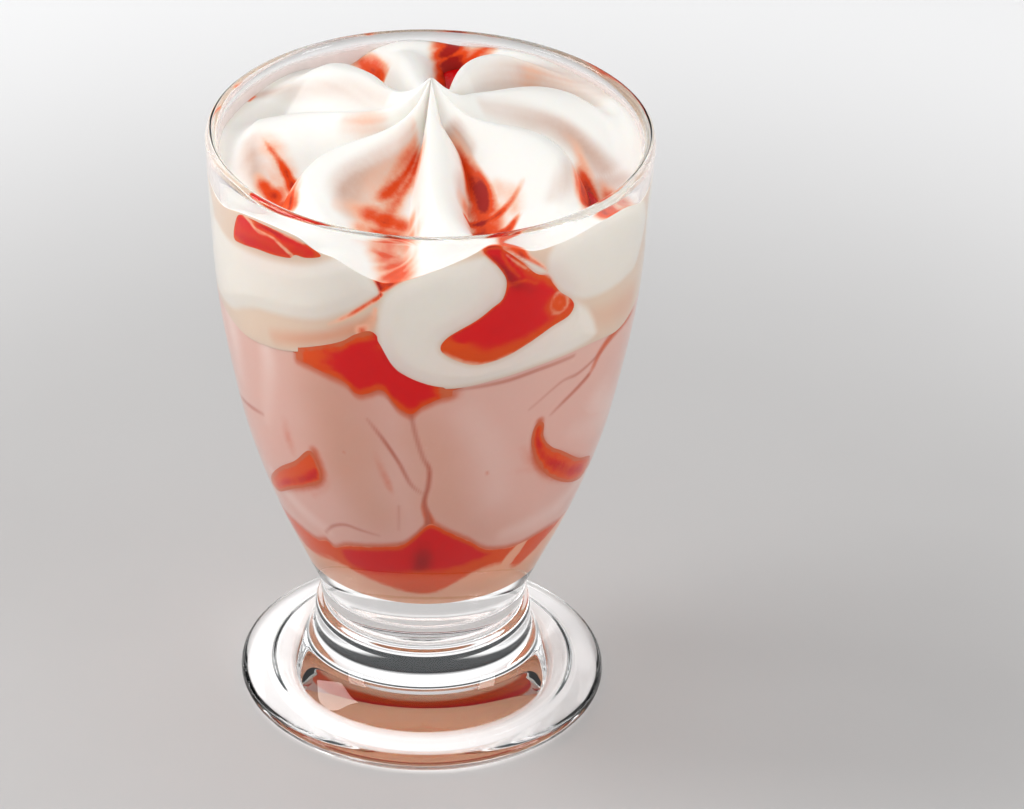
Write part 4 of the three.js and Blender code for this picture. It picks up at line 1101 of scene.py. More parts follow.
creamLook = {
    "white": tone(242, 240, 235),
    "pressed": tone(226, 221, 213),
    # between the lobes on the glass: painted shade where the cream turns away from the glass, partly sauce
    # tint
    "valleyShade": tone(218, 198, 180),
    "blush": tone(216, 150, 118),
    # painted shade in the hollows and grooves of the top, partly sauce tint
    "tan": tone(204, 170, 153),
    "peach": tone(240, 190, 162),
    "orange": tone(228, 82, 20),
    "red": tone(170, 28, 14),
    "softCream": {"Roughness": 0.42, "Specular IOR Level": 0.3},
    "pressedCream": {"Roughness": 0.55, "Specular IOR Level": 0.0},
    "surface": {
        "Subsurface Weight": 0.35,
        "Subsurface Scale": 2.5 * mm,
        "Subsurface Radius": (1.0, 0.75, 0.55),
    },
    "bump": (0.1, 0.35),  # height and strength
    "cloud": (9,),  # as the size of the spots in mm, detail and roughness
    "grain": (0.9, 3.0, 0.6),
    "uneven": {"cloud": 0.9, "grain": 0.4, "streak": 0.28},
    "paintedShade": (0.5, 0.85),  # how much the painted shade changes from place to place, and its level
    # strengths of a stain between which each tone sets in, and distances into a lobe that it stops at
    "stainFades": {"peach": (0.02, 0.45), "orange": (0.27, 0.76), "red": (0.78, 1.2)},
    "lobeStops": {"peach": (0.5, -0.3), "orange": (0.5, -0.3), "red": (0.4, -0.3)},
    "pressedFrom": (-0.5, 1.2),
    "carried": (0.3, 2.6),  # how far the stains on top run over the edge
    "reach": (0.33, 0.5),  # how far the side reaches into the glass, and how much further in the lobes
    "lobeEdge": (-0.3, 3.2),
    # stains on top, as (x, y, half width, strength)
    "topStains": [
        [(-2.6, -5.2, 1.4, 0.2), (-2.4, -6.8, 2.0, 0.48), (-2.8, -8.6, 3.0, 0.74), (-3.8, -11.0, 3.8, 0.8),
         (-5.4, -13.8, 4.0, 0.8), (-7.0, -15.8, 3.6, 0.7), (-9.4, -17.6, 2.8, 0.32)],
        [(-3.4, -7.4, 3.4, 0.14), (-5.2, -11.4, 5.4, 0.28), (-7.8, -15.0, 5.8, 0.32),
         (-10.0, -18.4, 5.0, 0.26)],
        [(-5.6, -15.6, 3.4, 0.6), (-6.4, -18.6, 4.0, 0.5), (-6.8, -21.0, 4.2, 0.55)],
        [(-14.4, -22.0, 3.4, 0.2), (-11.0, -21.4, 4.6, 0.5), (-7.2, -21.4, 5.2, 0.7),
         (-4.4, -22.4, 3.8, 0.62)],
        [(-11.9, -20.6, 1.0, 0.3), (-9.8, -21.4, 1.4, 0.6), (-7.4, -22.0, 1.6, 0.76),
         (-5.2, -21.8, 1.2, 0.66)],
        [(-10.4, -25.4, 4.6, 0.45), (-6.4, -25.2, 5.2, 0.66), (-4.0, -26.2, 4.2, 0.55)],
        [(-7.0, -28.0, 5.2, 0.5), (-5.6, -31.0, 5.2, 0.72), (-5.2, -33.6, 5.0, 0.85)],
        [(-10.4, -24.0, 1.0, 0.3), (-8.4, -24.9, 1.3, 0.75), (-6.2, -25.2, 1.1, 0.7)],
        [(-9.4, -28.0, 1.2, 0.3), (-7.2, -28.8, 1.5, 0.8), (-5.0, -28.8, 1.1, 0.6)],
        [(1.9, -5.6, 0.9, 0.2), (4.0, -5.0, 1.1, 0.3), (5.7, -7.4, 1.6, 0.6), (7.0, -11.0, 2.4, 1.0),
         (8.1, -14.4, 3.2, 1.2), (8.9, -17.4, 3.4, 1.25), (9.6, -19.4, 3.0, 1.05)],
        [(7.6, -18.6, 4.4, 0.7), (9.4, -20.8, 5.2, 0.7), (9.6, -24.0, 4.8, 0.75)],
        [(10.6, -14.4, 3.0, 0.24), (13.0, -17.0, 4.0, 0.28), (13.8, -20.4, 3.6, 0.3)],
        [(6.2, -21.2, 1.1, 0.9), (8.7, -22.0, 1.6, 1.05), (11.9, -20.6, 1.5, 0.9), (14.0, -17.6, 1.3, 0.5),
         (15.4, -14.4, 1.0, 0.22)],
        [(7.6, -24.2, 1.3, 0.9), (10.2, -25.4, 1.7, 1.15), (12.8, -24.8, 1.5, 0.95),
         (14.6, -22.4, 1.0, 0.45)],
        [(9.2, -26.5, 3.0, 0.8), (11.4, -29.5, 3.4, 0.95), (12.8, -32.5, 3.6, 1.0)],
        [(22.7, 6.6, 1.4, 0.12), (24.6, 4.4, 1.6, 0.2), (25.4, 1.0, 1.9, 0.36), (26.0, -3.0, 2.5, 0.75),
         (26.4, -7.0, 3.4, 1.2), (26.8, -11.5, 4.2, 1.4), (27.4, -16.0, 4.2, 1.35),
         (28.4, -20.4, 3.8, 1.1)],
        [(26.4, -20.8, 2.6, 0.5), (29.5, -19.8, 3.0, 0.7), (32.2, -17.4, 2.6, 0.45)],
        [(28.6, -5.0, 2.6, 0.3), (29.8, -8.6, 3.6, 0.7), (30.8, -12.6, 3.6, 0.8), (31.4, -16, 3.2, 0.7)],
        [(14.4, 25.2, 2.0, 0.12), (16.8, 25.6, 2.4, 0.26), (19.6, 25.0, 2.4, 0.16), (24, 23, 2, 0.12)],
        [(2.0, 15.0, 1.6, 0.45), (2.2, 19.0, 2.4, 0.85), (2.6, 24.0, 3.2, 1.1), (3.2, 28.6, 4.4, 1.35),
         (3.4, 32.0, 5.2, 1.5), (3.4, 35.4, 5.2, 1.25)],
        [(6.8, 32.6, 3.4, 0.8), (9.8, 34.4, 3.0, 0.6)],
        [(-13.8, 33.4, 2.6, 0.4), (-11.6, 32.0, 3.0, 0.72), (-9.8, 30.0, 3.0, 0.85),
         (-8.6, 27.0, 2.2, 0.6)],
        [(-31.4, 17.4, 1.0, 0.8), (-30.4, 18.6, 0.8, 0.5)],
        [(-14.0, -0.4, 2.4, 0.16), (-11.2, -1.2, 2.8, 0.24), (-8.2, -2.0, 2.0, 0.18)],
        [(-28.4, 0.2, 0.9, 0.25), (-26.8, -2.6, 1.1, 0.55), (-25.0, -5.0, 1.4, 0.8),
         (-23.6, -7.4, 1.8, 0.95), (-22.4, -10.4, 2.6, 0.95)],
        [(-29.0, 1.4, 3.4, 0.16), (-26.8, -2.2, 4.0, 0.3), (-24.6, -6.0, 4.0, 0.34),
         (-23.4, -9.4, 3.6, 0.34)],
        [(-27.4, -5.6, 3.0, 0.2), (-25.2, -8.6, 3.6, 0.34), (-24.0, -12.0, 3.4, 0.4)],
        [(-25.2, -10.0, 3.2, 0.5), (-24.4, -13.0, 4.0, 0.75), (-24.0, -17.0, 3.8, 0.8)],
        [(-28.6, -7.8, 2.0, 0.4), (-27.4, -9.8, 2.8, 0.9), (-25.6, -11.8, 3.0, 0.98),
         (-24.6, -14.6, 3.0, 0.95), (-23.6, -18.0, 2.8, 0.95), (-23.0, -21.0, 2.4, 0.85)],
    ],
    # painted shade in the hollows and grooves of the top, partly sauce tint, as (x, y, half width,
    # strength)
    "topShades": [
        [(-30.6, 0.4, 2.6, 0.5), (-30.2, -3.0, 3.2, 0.85), (-29.6, -6.5, 3.4, 0.9),
         (-28.6, -9.6, 2.8, 0.6)],
        [(-5.6, -9.0, 2.2, 0.4), (-8.8, -12.2, 3.6, 0.85), (-12.2, -15.6, 4.8, 1.1),
         (-13.2, -18.6, 5.0, 1.15), (-13.0, -21.6, 4.0, 0.9)],
        [(-3.0, -5.6, 1.4, 0.35), (-5.0, -8.6, 2.2, 0.4)],
        [(-14.0, -0.4, 2.8, 0.3), (-10.2, -1.6, 2.6, 0.4), (-7.4, -3.2, 1.8, 0.3)],
        [(-30.4, 18.8, 1.8, 0.6), (-24.0, 20.2, 2.6, 0.4), (-17.1, 17.1, 3.0, 0.45),
         (-12.2, 12.1, 2.6, 0.45), (-7.8, 6.5, 1.6, 0.3)],
        [(5.2, -12.6, 1.4, 0.3), (5.0, -16.0, 1.8, 0.5), (5.4, -19.6, 1.6, 0.4)],
        [(2.2, -4.4, 0.9, 0.6), (4.2, -4.6, 1.5, 0.9), (6.4, -6.8, 1.9, 0.7)],
        [(23.8, -6.0, 2.4, 0.2), (23.4, -10.6, 3.0, 0.45), (22.2, -15.4, 3.2, 0.5),
         (20.6, -19.4, 2.8, 0.35)],
        [(29.4, -1.6, 3.6, 0.9), (26.6, 3.0, 3.4, 0.95), (23.4, 6.6, 3.2, 0.95), (19.6, 8.6, 3.0, 0.75),
         (14.6, 8.0, 2.6, 0.55), (9.0, 5.4, 2.0, 0.35)],
        [(28.4, -4.9, 3.2, 0.7), (30.6, -4.6, 3.6, 0.75), (32.8, -6.0, 3.0, 0.5)],
        [(8.0, 17.0, 2.6, 0.25), (11.0, 21.0, 4.0, 0.5), (15.0, 24.4, 5.2, 0.75), (20.0, 25.0, 5.4, 0.75),
         (25.0, 22.6, 4.6, 0.6), (29.0, 19.0, 3.8, 0.4)],
    ],
    # stains on the side, as (angle, height, half width, strength)
    "sideStains": [
        [(-12.6, 99.4, 1.2, 1.1), (-10.4, 100.6, 2.4, 0.95), (-7.0, 102.6, 3.4, 0.8),
         (-2.0, 104.6, 3.6, 0.6)],
        [(-15.6, 106.5, 1.2, 0.4), (-14.0, 102.6, 1.4, 0.9), (-12.4, 99.6, 1.2, 1.1)],
        [(-12.3, 98.5, 0.8, 1.1), (-14.6, 97.0, 1.0, 0.95), (-17.4, 95.4, 1.0, 0.75),
         (-22.1, 92.8, 0.9, 0.45), (-27, 90.6, 0.8, 0.15)],
        [(-13.8, 95.4, 1.0, 0.4), (-15.0, 92.4, 1.6, 0.35), (-17.0, 90.8, 2.2, 0.6)],
        [(22, 107, 2.2, 0.8), (26, 103.8, 1.6, 0.9), (31, 101.0, 1.2, 0.8), (35.4, 97.4, 0.9, 0.6)],
        [(15.6, 108, 2.6, 1.1), (17.5, 105.6, 2.6, 1.2)],
        [(196, 107, 1.8, 0.6), (194.6, 100, 1.5, 0.9), (197, 94, 1.2, 0.8), (204, 90, 0.9, 0.4)],
        [(253, 105, 1.5, 0.5), (251.8, 98, 1.3, 0.9), (253, 92, 1.1, 0.8), (258, 87.5, 0.9, 0.4)],
        [(117, 99.6, 2.0, 0.5), (123, 101.6, 2.6, 0.75), (130, 104.8, 3.4, 0.85), (138, 103.0, 3.2, 0.75),
         (145, 99.6, 2.0, 0.5)],
    ],
    "sideBlush": [
        [(-31, 86.2, 2.2, 0.3), (-25, 88.8, 2.6, 0.6), (-18, 91.4, 2.4, 0.8), (-14.6, 93.6, 1.6, 0.7)],
        [(-45, 84, 2.6, 0.4), (-33, 86.6, 2.2, 0.6), (-22, 89.8, 1.8, 0.7)],
        [(44, 89.4, 2.0, 0.2), (56, 86.6, 4.0, 0.3), (70, 85, 5.0, 0.4)],
        [(-16.6, 108, 3.4, 0.6), (-11, 104.6, 3.6, 0.7), (-4, 106.8, 3.6, 0.6)],
        [(196, 104, 3.4, 0.5), (196, 94, 3.0, 0.7), (202, 89.4, 2.4, 0.5)],
        [(253, 101, 3.0, 0.4), (254, 91, 2.8, 0.6), (260, 86, 2.4, 0.4)],
        [(112, 92.4, 2.4, 0.4), (128, 88.6, 3.4, 0.7), (142, 90, 2.8, 0.6)],
    ],
}


lobeShapes = [insideOutline(outline) for outline in lobes.values()]
pocketShapes = [insideOutline(pocket["outline"]) for pocket in pockets.values() if not pocket["smeared"]]


def lobeDepth(angle, z):  # how far inside the nearest lobe, negative between lobes and in pockets
    inside = np.max([shape(angle, z) for shape in lobeShapes], axis=0)
    return np.min([inside, *(-shape(angle, z) for shape in pocketShapes)], axis=0)


def creamReach(angle, z):
    least, more = creamLook["reach"]
    return least + more * smooth(*creamLook["lobeEdge"], lobeDepth(angle, z))


def creamFinish(name):
    pressed = name == "pressedCream"
    finish = Finish(name)
    cloud = finish.noise(*creamLook["cloud"])
    grain = finish.noise(*creamLook["grain"])
    strength = creamLook["uneven"]
    uneven = (cloud - 0.5) * strength["cloud"] + (grain - 0.5) * strength["grain"]
    uneven = uneven + finish.field("streak") * strength["streak"]
    stained = finish.field("stain") * (uneven + 1.0)
    if pressed:
        # the lobes stay light, and between them comes painted shade with some sauce tint
        lobe = finish.fade(finish.field("lobe"), *creamLook["pressedFrom"])
        colour = finish.blend(lobe, creamLook["valleyShade"], creamLook["pressed"])
        colour = finish.blend(finish.field("blush").atMost(1.0) * (1 - lobe), colour, creamLook["blush"])
    else:
        # painted shade, partly sauce tint, darkens the hollows of the top
        change, level = creamLook["paintedShade"]
        paintedShade = finish.field("tan").atMost(1.0) * (uneven * change + level)
        colour = finish.blend(paintedShade, creamLook["white"], creamLook["tan"])
    for stain, fade in creamLook["stainFades"].items():
        share = finish.fade(stained, *fade)
        if pressed:
            share = share * finish.fade(finish.field("lobe"), *creamLook["lobeStops"][stain])
        colour = finish.blend(share, colour, creamLook[stain])
    normal = finish.bump(grain, *creamLook["bump"])
    surface = {**creamLook["surface"], **creamLook[name]}
    return finish.coated(surface, **{"Base Color": colour, "Normal": normal})


def makeCream():
    foot = creamFootEdge(columnAngles)
    rows = [inwards(foot, *swirl["foot"])]
    rows += sideRows(foot, creamContactEdge(columnAngles), creamReach)
    sideLevels = len(rows)
    contactHeight, _, end = swirl["contact"]
    outer = float(innerRadius(contactHeight)) - end
    sparseTo, denseFrom, denseTo = swirl["radii"]
    sparse, dense = swirl["rowCounts"]
    radii = np.concatenate([np.linspace(outer, sparseTo, sparse), np.linspace(denseFrom, denseTo, dense)])
    rows += [creamPoint(radius, columnAngles) for radius in radii]
    underside, closing = swirl["hollow"]
    shell = ringShell(rows, (0, 0, underside), (0, 0, swirl["peak"] - closing))

    x, y, z = shell["points"].T
    angle = angleOf(x, y)
    isTop = np.arange(len(x)) >= sideLevels * layers["columns"]
    topStain = strokes(x, y, creamLook["topStains"])
    carried = topStain * fadeOut(creamContactEdge(angle) - z, *creamLook["carried"])
    sideStain = np.maximum(wallStrokes(creamLook["sideStains"])(angle, z), carried)
    columns = np.append(np.tile(columnAngles, len(rows)), [0, 0])  # the last two close the shell
    shell["fields"] = {
        "stain": np.where(isTop, topStain, sideStain),
        "tan": strokes(x, y, creamLook["topShades"]),
        "streak": streaksOf(columns, np.hypot(x, y)),
        "lobe": lobeDepth(angle, z),
        "blush": wallStrokes(creamLook["sideBlush"])(angle, z),
    }
    faceFinish = np.zeros(len(shell["faces"]), int)
    faceFinish[:(sideLevels - 1) * layers["columns"]] = 1  # the side is pressed against the glass
    finishes = [creamFinish("softCream"), creamFinish("pressedCream")]
    makePiece("creamSwirl", [shell], finishes, ["whipped_cream"], faceFinish)


makeCream()

filmLook = {  # a pale, patchy, partly see-through sheet on the inside of the rim, at the back
    "surface": {"Base Color": tone(247, 235, 231), "Roughness": 0.6, "Specular IOR Level": 0.1},
    "patches": 7,  # their size in mm
    "patchy": (0.7, 0.6),  # how much its cover changes from place to place, and its level
    "top": 108.8,
    "under": 1.5,  # how far it goes down behind the edge of the cream
    "reach": 0.1,
    "thick": 0.2,
    "topFade": (0.7, 1.0),
    "columns": 160,
    "rows": 20,
    # parts of the rim that it lies below, as (angle, share of it that covers)
    "parts": [
        [(-178, 0.0), (-170, 0.5), (-150, 0.8), (-130, 0.8), (-110, 0.75), (-95, 0.6), (-80, 0.35),
         (-64, 0.0)],
        [(62, 0.0), (76, 0.3), (90, 0.5), (105, 0.65), (130, 0.7), (150, 0.7), (165, 0.5), (176, 0.0)],
    ],
}


def filmFinish():
    finish = Finish("rimFilm")
    change, level = filmLook["patchy"]
    share = finish.field("cover") * (finish.noise(filmLook["patches"]) * change + level)
    return finish.coated(filmLook["surface"], Alpha=share.atMost(1.0))


def makeFilm():
    shells = []
    for part in filmLook["parts"]:
        share = throughStations(part)
        angles = np.linspace(part[0][0], part[-1][0], filmLook["columns"])
        low = creamContactEdge(angles) - filmLook["under"]
        front, behind, cover = [], [], []
        for step in np.linspace(0, 1, filmLook["rows"]):
            z = mix(low, filmLook["top"], step)
            radius = innerRadius(z) + filmLook["reach"]
            front.append(place(angles, radius, z))
            behind.append(place(angles, radius - filmLook["thick"], z))
            cover.append(np.clip(share(angles), 0, 1) * fadeOut(step, *filmLook["topFade"]))
        shell = sheetShell(np.array(front), np.array(behind))
        shell["fields"]["cover"] = np.tile(np.concatenate(cover), 2)
        shells.append(shell)
    makePiece("rimFilm", shells, [filmFinish()], [])


makeFilm()

pocketFit = {
    # how far the middle and the edge of a pocket reach into the glass
    "pressed": (0.85, 0.38),
    "smeared": (0.34, 0.3),
    "bulge": 3.0,  # distance from the edge where it reaches furthest
    "edgeThick": 0.3,
    "deepFrom": 4,  # distance from the edge where it is as deep as it gets
    "outlineSteps": 10,
    "spacing": 0.55,
    "edgeGap": 0.3,  # no inner point lies nearer to the edge
    "sharpFrom": 50,  # degrees between faces
    "pressedRim": (0.0, 0.6, 0.8),  # its orange, as (from, to, strength)
    # what the core of a smeared pocket changes
    "coreFrom": (0.1, 1.2),
    "thin": (1.2, 0.75),
    "paleRim": (0.0, 1.5),
    "pale": (1.2, 1.3, 0.5),
    "dark": 0.3,
}


insideOnly = 1  # the triangulation's output type that leaves out triangles outside the outline


def fillOutline(outline, fit):  # points inside and on an outline, and triangles between them, facing out
    edge = wallPath(outline, fit["outlineSteps"])
    low, high = edge.min(axis=0), edge.max(axis=0)
    u, v = np.meshgrid(*(np.arange(a, b, fit["spacing"]) for a, b in zip(low, high)))
    u, v = u.ravel(), v.ravel()
    keep = insideBy(u, v, edge) > fit["edgeGap"]
    spots = [Vector(p) for p in edge] + [Vector(p) for p in zip(u[keep], v[keep])]
    count = len(edge)
    sides = [(i, (i + 1) % count) for i in range(count)]
    flat, _, triangles, *_ = delaunay_2d_cdt(spots, sides, [list(range(count))], insideOnly, tiny)
    flat = np.array(flat)
    facing = []
    for a, b, c in triangles:
        turn = np.cross(flat[b] - flat[a], flat[c] - flat[a])
        facing.append((a, b, c) if turn >= 0 else (a, c, b))
    if sum(edge[i][0] * edge[j][1] - edge[j][0] * edge[i][1] for i, j in sides) < 0:
        sides = [(j, i) for i, j in sides]
    inner = np.maximum(insideBy(*flat.T, edge), 0)
    inner[:count] = 0
    return flat, inner, facing, sides


def pocketShell(pocket, fit):
    into, edgeInto = fit["smeared" if pocket["smeared"] else "pressed"]
    flat, inner, triangles, sides = fillOutline(pocket["outline"], fit)
    angle, z = flat[:, 0] / wallScale, flat[:, 1]
    front = place(angle, innerRadius(z) + mix(edgeInto, into, smooth(0, fit["bulge"], inner)), z)
    depth = pocket["depth"] * smooth(0, fit["deepFrom"], inner)
    behind = place(angle, innerRadius(z) - fit["edgeThick"] - depth, z)
    count = len(flat)
    faces = []
    for a, b, c in triangles:
        faces += [(a, b, c), (a + count, c + count, b + count)]
    faces += [(i, i + count, j + count, j) for i, j in sides]
    return {
        "points": np.concatenate([front, behind]),
        "faces": faces,
        "fields": {"inner": np.concatenate([inner, inner])},
    }


pocketLook = {
    # orange edges, and a painted reflection across the left pocket, as (angle, height, half width,
    # strength)
    "thin": [
        [(2.6, 90.2, 3.6, 1.3), (3.6, 87.6, 6.8, 1.8), (8.0, 84.4, 8.2, 1.9), (14.0, 83.2, 7.8, 1.8),
         (21.0, 84.2, 6.8, 1.7), (28.0, 86.0, 5.4, 1.5), (35.0, 88.4, 4.2, 1.3), (41.0, 90.8, 3.2, 1.1)],
        [(36.0, 93.8, 4.0, 1.3), (37.0, 93.4, 4.0, 1.3)],
        [(24, 104.4, 2.2, 1.0), (28, 101.6, 2.4, 1.0), (32.6, 99.6, 2.2, 1.0), (36, 96.8, 1.4, 0.8)],
        [(21.6, 99.8, 0.9, 0.6), (25.4, 100.2, 0.8, 0.7), (29, 99.0, 0.8, 0.6)],
        # a light orange line across the left pocket: painted reflection
        [(-58, 105.8, 1.0, 0.9), (-53.2, 104.9, 0.9, 1.1), (-49.9, 103.8, 0.9, 1.1),
         (-44.1, 104.0, 0.9, 1.1), (-40.7, 103.2, 0.9, 1.1), (-37.0, 101.6, 0.9, 1.0)],
        [(-62, 98.4, 1.8, 0.8), (-54, 99.0, 1.4, 0.6), (-46, 100.2, 1.2, 0.6), (-38, 101.2, 1.0, 0.6)],
        [(-60, 101.6, 3.0, 0.5), (-50, 102, 3.4, 0.42), (-40, 102.6, 3.4, 0.42), (-32, 103.4, 2.6, 0.42)],
        [(18.6, 106.6, 0.6, 0.5), (20.8, 103.6, 0.7, 0.7), (24.0, 101.0, 0.7, 0.6)],
        [(-60, 103, 1.4, 0.6), (-56, 101.4, 1.8, 0.4)],
        [(-56, 105.4, 1.2, 0.8), (-46, 106.0, 1.2, 0.8), (-36, 105.8, 1.2, 0.8), (-28, 103.6, 1.4, 0.8)],
        [(115, 95, 2.6, 0.7), (126, 91.4, 3.2, 0.9), (141, 92, 3.0, 0.8)],
    ],
    "pale": [
        # ring of a bubble in the front pocket, paler at its top right as a painted highlight
        [(33.8, 94.0, 1.2, 0.5), (34.8, 95.4, 1.2, 0.6), (37, 95.8, 1.3, 0.75), (39, 94.6, 1.3, 0.75),
         (39.2, 92.8, 1.2, 0.65), (37, 91.9, 1.2, 0.5), (34.6, 92.4, 1.2, 0.5), (33.8, 94.0, 1.2, 0.5)],
        [(3.0, 86.8, 2.6, 0.8), (8, 84.6, 3.0, 1.2), (14, 83.6, 2.8, 1.2), (22, 84.6, 2.6, 1.1),
         (30, 87.2, 1.8, 0.8), (38, 89.6, 1.2, 0.6)],
        [(36.6, 93.8, 1.6, 0.4), (37.0, 93.6, 1.6, 0.4)],
        [(-58, 105.4, 1.2, 0.9), (-46, 106.0, 1.2, 0.9), (-34, 105.4, 1.2, 0.9)],
        # the same line across the left pocket, paler: painted reflection
        [(-58, 105.4, 1.0, 0.9), (-53.2, 104.5, 0.9, 0.8), (-49.9, 103.6, 0.8, 0.75),
         (-44.1, 103.8, 0.8, 0.7), (-40.7, 103.0, 0.8, 0.75), (-37.0, 101.6, 0.9, 0.85)],
        [(29.6, 101.4, 1.2, 0.5), (33.4, 99.6, 1.2, 0.5)],
        [(-39, 61.8, 1.6, 0.8), (-46, 58.0, 2.0, 1.0), (-56, 53.8, 1.8, 1.0), (-68, 47.6, 1.6, 0.9)],
        [(37.6, 67, 1.0, 0.6), (41, 63.6, 1.2, 0.7), (46, 61.2, 1.4, 0.8), (57, 56.8, 1.4, 0.8)],
        [(20.2, 105.8, 0.7, 0.5), (23.8, 103.4, 0.8, 0.7), (27.6, 101.4, 0.8, 0.6)],
    ],
    "dark": [
        [(16.6, 105.0, 2.0, 0.5), (20.6, 101.6, 2.4, 0.6), (24.6, 99.2, 2.4, 0.4), (30, 97.6, 2.0, 0.2)],
        [(-50, 104.9, 0.9, 0.4), (-44, 105.0, 1.0, 0.45), (-38, 104.4, 0.9, 0.3)],
        [(-36.2, 60.2, 1.6, 0.6), (-36.6, 57.0, 2.4, 1.1), (-43, 54.4, 2.2, 1.1), (-52, 51.2, 2.0, 1.0),
         (-63, 47.4, 1.6, 0.7)],
        [(34.4, 68.6, 1.2, 0.7), (35.2, 65.2, 1.7, 1.0), (38.8, 61.2, 2.0, 0.9), (45, 58.0, 2.6, 1.1),
         (55, 54.2, 2.6, 1.1), (66, 51.2, 2.2, 0.9)],
        [(197, 64.4, 1.6, 0.7), (203, 59.6, 2.2, 1.0), (214, 56.6, 2.2, 1.1), (226, 56.2, 1.4, 0.7)],
    ],
}


def smearFields(fields, fit):  # orange and pale towards the edge, red in the core
    inner = fields["inner"]
    core = fields["dark"] * smooth(*fit["coreFrom"], inner)
    thin, lessThin = fit["thin"]
    pale, lessPaleInside, lessPaleCore = fit["pale"]
    rim = pale - lessPaleInside * smooth(*fit["paleRim"], inner)
    fields["thin"] = thin - lessThin * core
    fields["pale"] = np.maximum(fields["pale"], rim) - lessPaleCore * core
    fields["dark"] = fit["dark"] * core


def makePockets():
    for pocket in pockets.values():
        shell = pocketShell(pocket, pocketFit)
        fields = shell["fields"]
        wallFieldsOf(shell, {key: wallStrokes(many) for key, many in pocketLook.items()})
        if pocket["smeared"]:
            finish = smearedSauce
            smearFields(fields, pocketFit)
        else:
            finish = wallSauce
            fields["thin"] = np.maximum(fields["thin"], fadeOut(fields["inner"], *pocketFit["pressedRim"]))
        makePiece(
            pocket["piece"], [shell], [finish], [pocket["node"]], sharpFrom=pocketFit["sharpFrom"]
        )


makePockets()

pools = {  # each lies along the groove after a petal, between two radii, and falls outwards
    "rightPoolSauce": {
        "petal": "frontRight", "radii": (25, 36), "halfWidth": 2.2, "level": 101.7, "fall": 0.04,
        "node": "sauce_pool_right",
    },
    "backPoolSauce": {
        "petal": "backRight", "radii": (14, 34.4), "halfWidth": 4.0, "level": 104.3, "fall": -0.06,
        "node": "sauce_pool_back",
    },
    "leftPoolSauce": {
        "petal": "left", "radii": (18, 36), "halfWidth": 2.2, "level": 101.6, "fall": 0.06,
        "node": "sauce_left",
    },
}
poolForm = {
    "above": 0.5,  # how far it stands up over its level in the middle
    "below": 3.0,
    "reach": 0.3,  # into the glass
    "columns": 64,
    "lifts": (-80, 80, 25),  # lowest and highest row and their number
    "dark": 0.2,
}


def poolShell(pool):  # a flat egg, bent along its groove and cut off at the glass
    groove = throughStations(swirl["petals"][pool["petal"]]["groove"])
    start, end = pool["radii"]
    middle = (start + end) / 2
    above, below = poolForm["above"], poolForm["below"]
    rows = []
    for lift in np.radians(np.linspace(*poolForm["lifts"])):
        ring = []
        for turn in np.radians(np.arange(poolForm["columns"]) * 360 / poolForm["columns"]):
            x, y, z = math.cos(turn) * math.cos(lift), math.sin(turn) * math.cos(lift), math.sin(lift)
            out = y * (end - start) / 2
            angle = float(groove(middle + out))
            high = pool["level"] - pool["fall"] * out + z * (above if z > 0 else below)
            ring.append(place(angle, middle + out, high) + place(angle - 90, -x * pool["halfWidth"], 0.0))
        rows.append(ring)
    centre = place(float(groove(middle)), middle, pool["level"])
    shell = ringShell(rows, centre - [0, 0, below], centre + [0, 0, above])
    points = shell["points"]
    most = innerRadius(points[:, 2]) + poolForm["reach"]
    points[:, :2] *= np.minimum(1, most / np.hypot(points[:, 0], points[:, 1]))[:, None]
    shell["fields"]["dark"] = np.full(len(points), poolForm["dark"])
    return shell


def makePools():
    for name, pool in pools.items():
        makePiece(name, [poolShell(pool)], [poolSauce], [pool["node"]])


makePools()

floorLook = {
    "size": 9000.0,
    "sunk": 0.05,  # below the foot
    "surface": {"Roughness": 0.6, "Specular IOR Level": 0.2},
    "speckle": (tone(198, 197, 196), tone(202, 201, 200)),
    "speckleSize": 40,
    "distant": tone(246, 246, 246),
    "distantFrom": (100, 300),
    "gathered": tone(252, 252, 252),  # light that the foot gathers under itself
    "gatheredFrom": (32.5, 30.0),
}


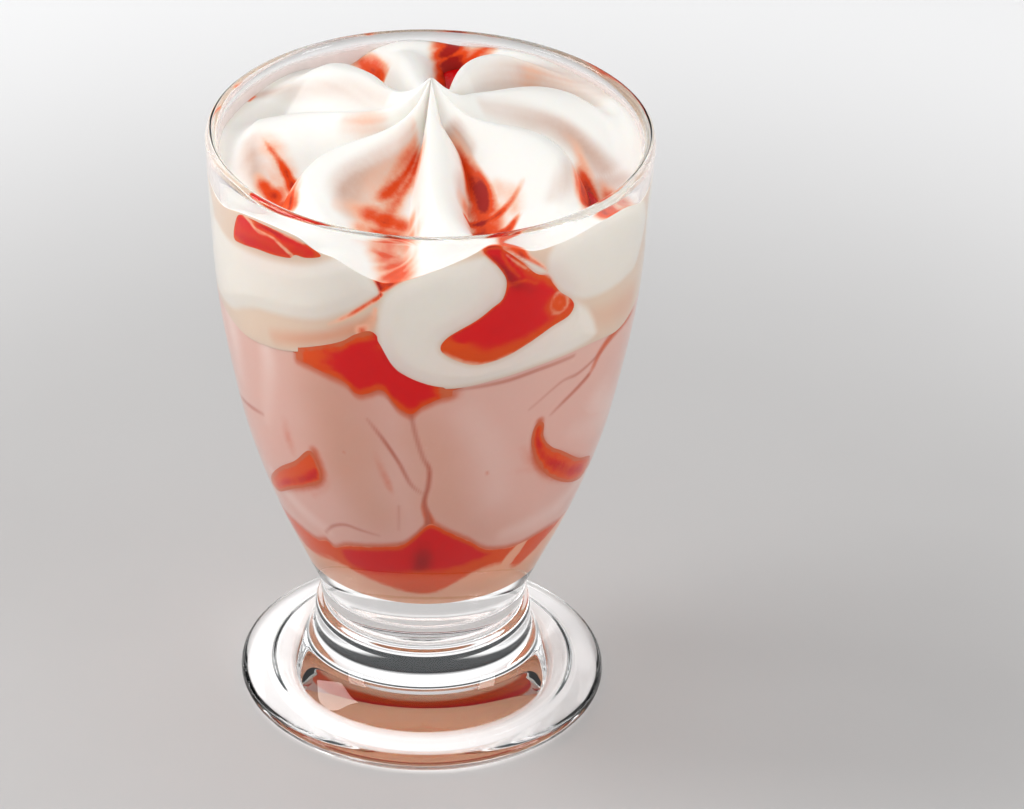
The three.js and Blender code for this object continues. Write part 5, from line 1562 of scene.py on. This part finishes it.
def makeFloor():
    finish = Finish("paleFloor")
    colour = finish.blend(finish.noise(floorLook["speckleSize"]), *floorLook["speckle"])
    spot = finish.node("ShaderNodeTexCoord", out="Object")
    far = finish.node("ShaderNodeVectorMath", {"operation": "LENGTH"}, {0: spot}, out="Value")
    for name in ("distant", "gathered"):
        share = finish.fade(far, *(edge * mm for edge in floorLook[name + "From"]))
        colour = finish.blend(share, colour, floorLook[name])
    half = floorLook["size"] / 2 * mm
    low = -floorLook["sunk"] * mm
    mesh = bpy.data.meshes.new("floor")
    corners = [(-half, -half, low), (half, -half, low), (half, half, low), (-half, half, low)]
    mesh.from_pydata(corners, [], [(0, 1, 2, 3)])
    mesh.materials.append(finish.coated(floorLook["surface"], **{"Base Color": colour}))
    floor = bpy.data.objects.new("floor", mesh)
    bpy.context.collection.objects.link(floor)


lightLook = {
    # light of the surroundings as (sine of its height, colour), in front of the glass and behind it
    "front": [(0.0, (0.92, 0.92, 0.92)), (0.5, (0.92, 0.92, 0.92)), (0.8, (0.42, 0.42, 0.43))],
    "behind": [
        (0.0, (0.9, 0.9, 0.9)), (0.05, (0.9, 0.9, 0.9)), (0.1, (0.05, 0.058, 0.062)),
        (0.36, (0.05, 0.058, 0.062)), (0.46, (0.95, 0.95, 0.95)), (0.65, (0.95, 0.95, 0.95)),
        (0.85, (0.52, 0.52, 0.53)),
    ],
    "behindFrom": (-0.1, 0.3),
    "boxes": {  # where it is, where it points, its size and its power
        "keyBox": ((-700, 100, 800), (0, 0, 100), (400, 400), 2.6),
        "leftBox": ((-950, -450, 350), (0, 0, 60), (300, 600), 2.0),
        "rightBox": ((950, -450, 350), (0, 0, 60), (300, 600), 2.4),
    },
}


def makeSurroundings():
    world = Finish("studio", surroundings=True)
    direction = world.node("ShaderNodeTexCoord", out="Generated")
    depth, height = (world.node("ShaderNodeSeparateXYZ", {}, {0: direction}, out=axis) for axis in "YZ")
    front = world.node("ShaderNodeValToRGB", {"stops": lightLook["front"]}, {0: height})
    behind = world.node("ShaderNodeValToRGB", {"stops": lightLook["behind"]}, {0: height})
    low, high = lightLook["behindFrom"]
    side = world.node("ShaderNodeMapRange", {}, {"Value": depth, "From Min": low, "From Max": high})
    light = world.blend(side, front, behind)
    bpy.context.scene.world = world.done(world.node("ShaderNodeBackground", {}, {"Color": light}))


def addSoftboxes():
    for name, (spot, target, size, power) in lightLook["boxes"].items():
        data = bpy.data.lights.new(name, "AREA")
        data.shape = "RECTANGLE"
        data.size, data.size_y = (side * mm for side in size)
        data.energy = power
        lamp = bpy.data.objects.new(name, data)
        bpy.context.collection.objects.link(lamp)
        lookAt(lamp, [part * mm for part in spot], [part * mm for part in target])


makeFloor()
makeSurroundings()
addSoftboxes()
print("floor and lights made")
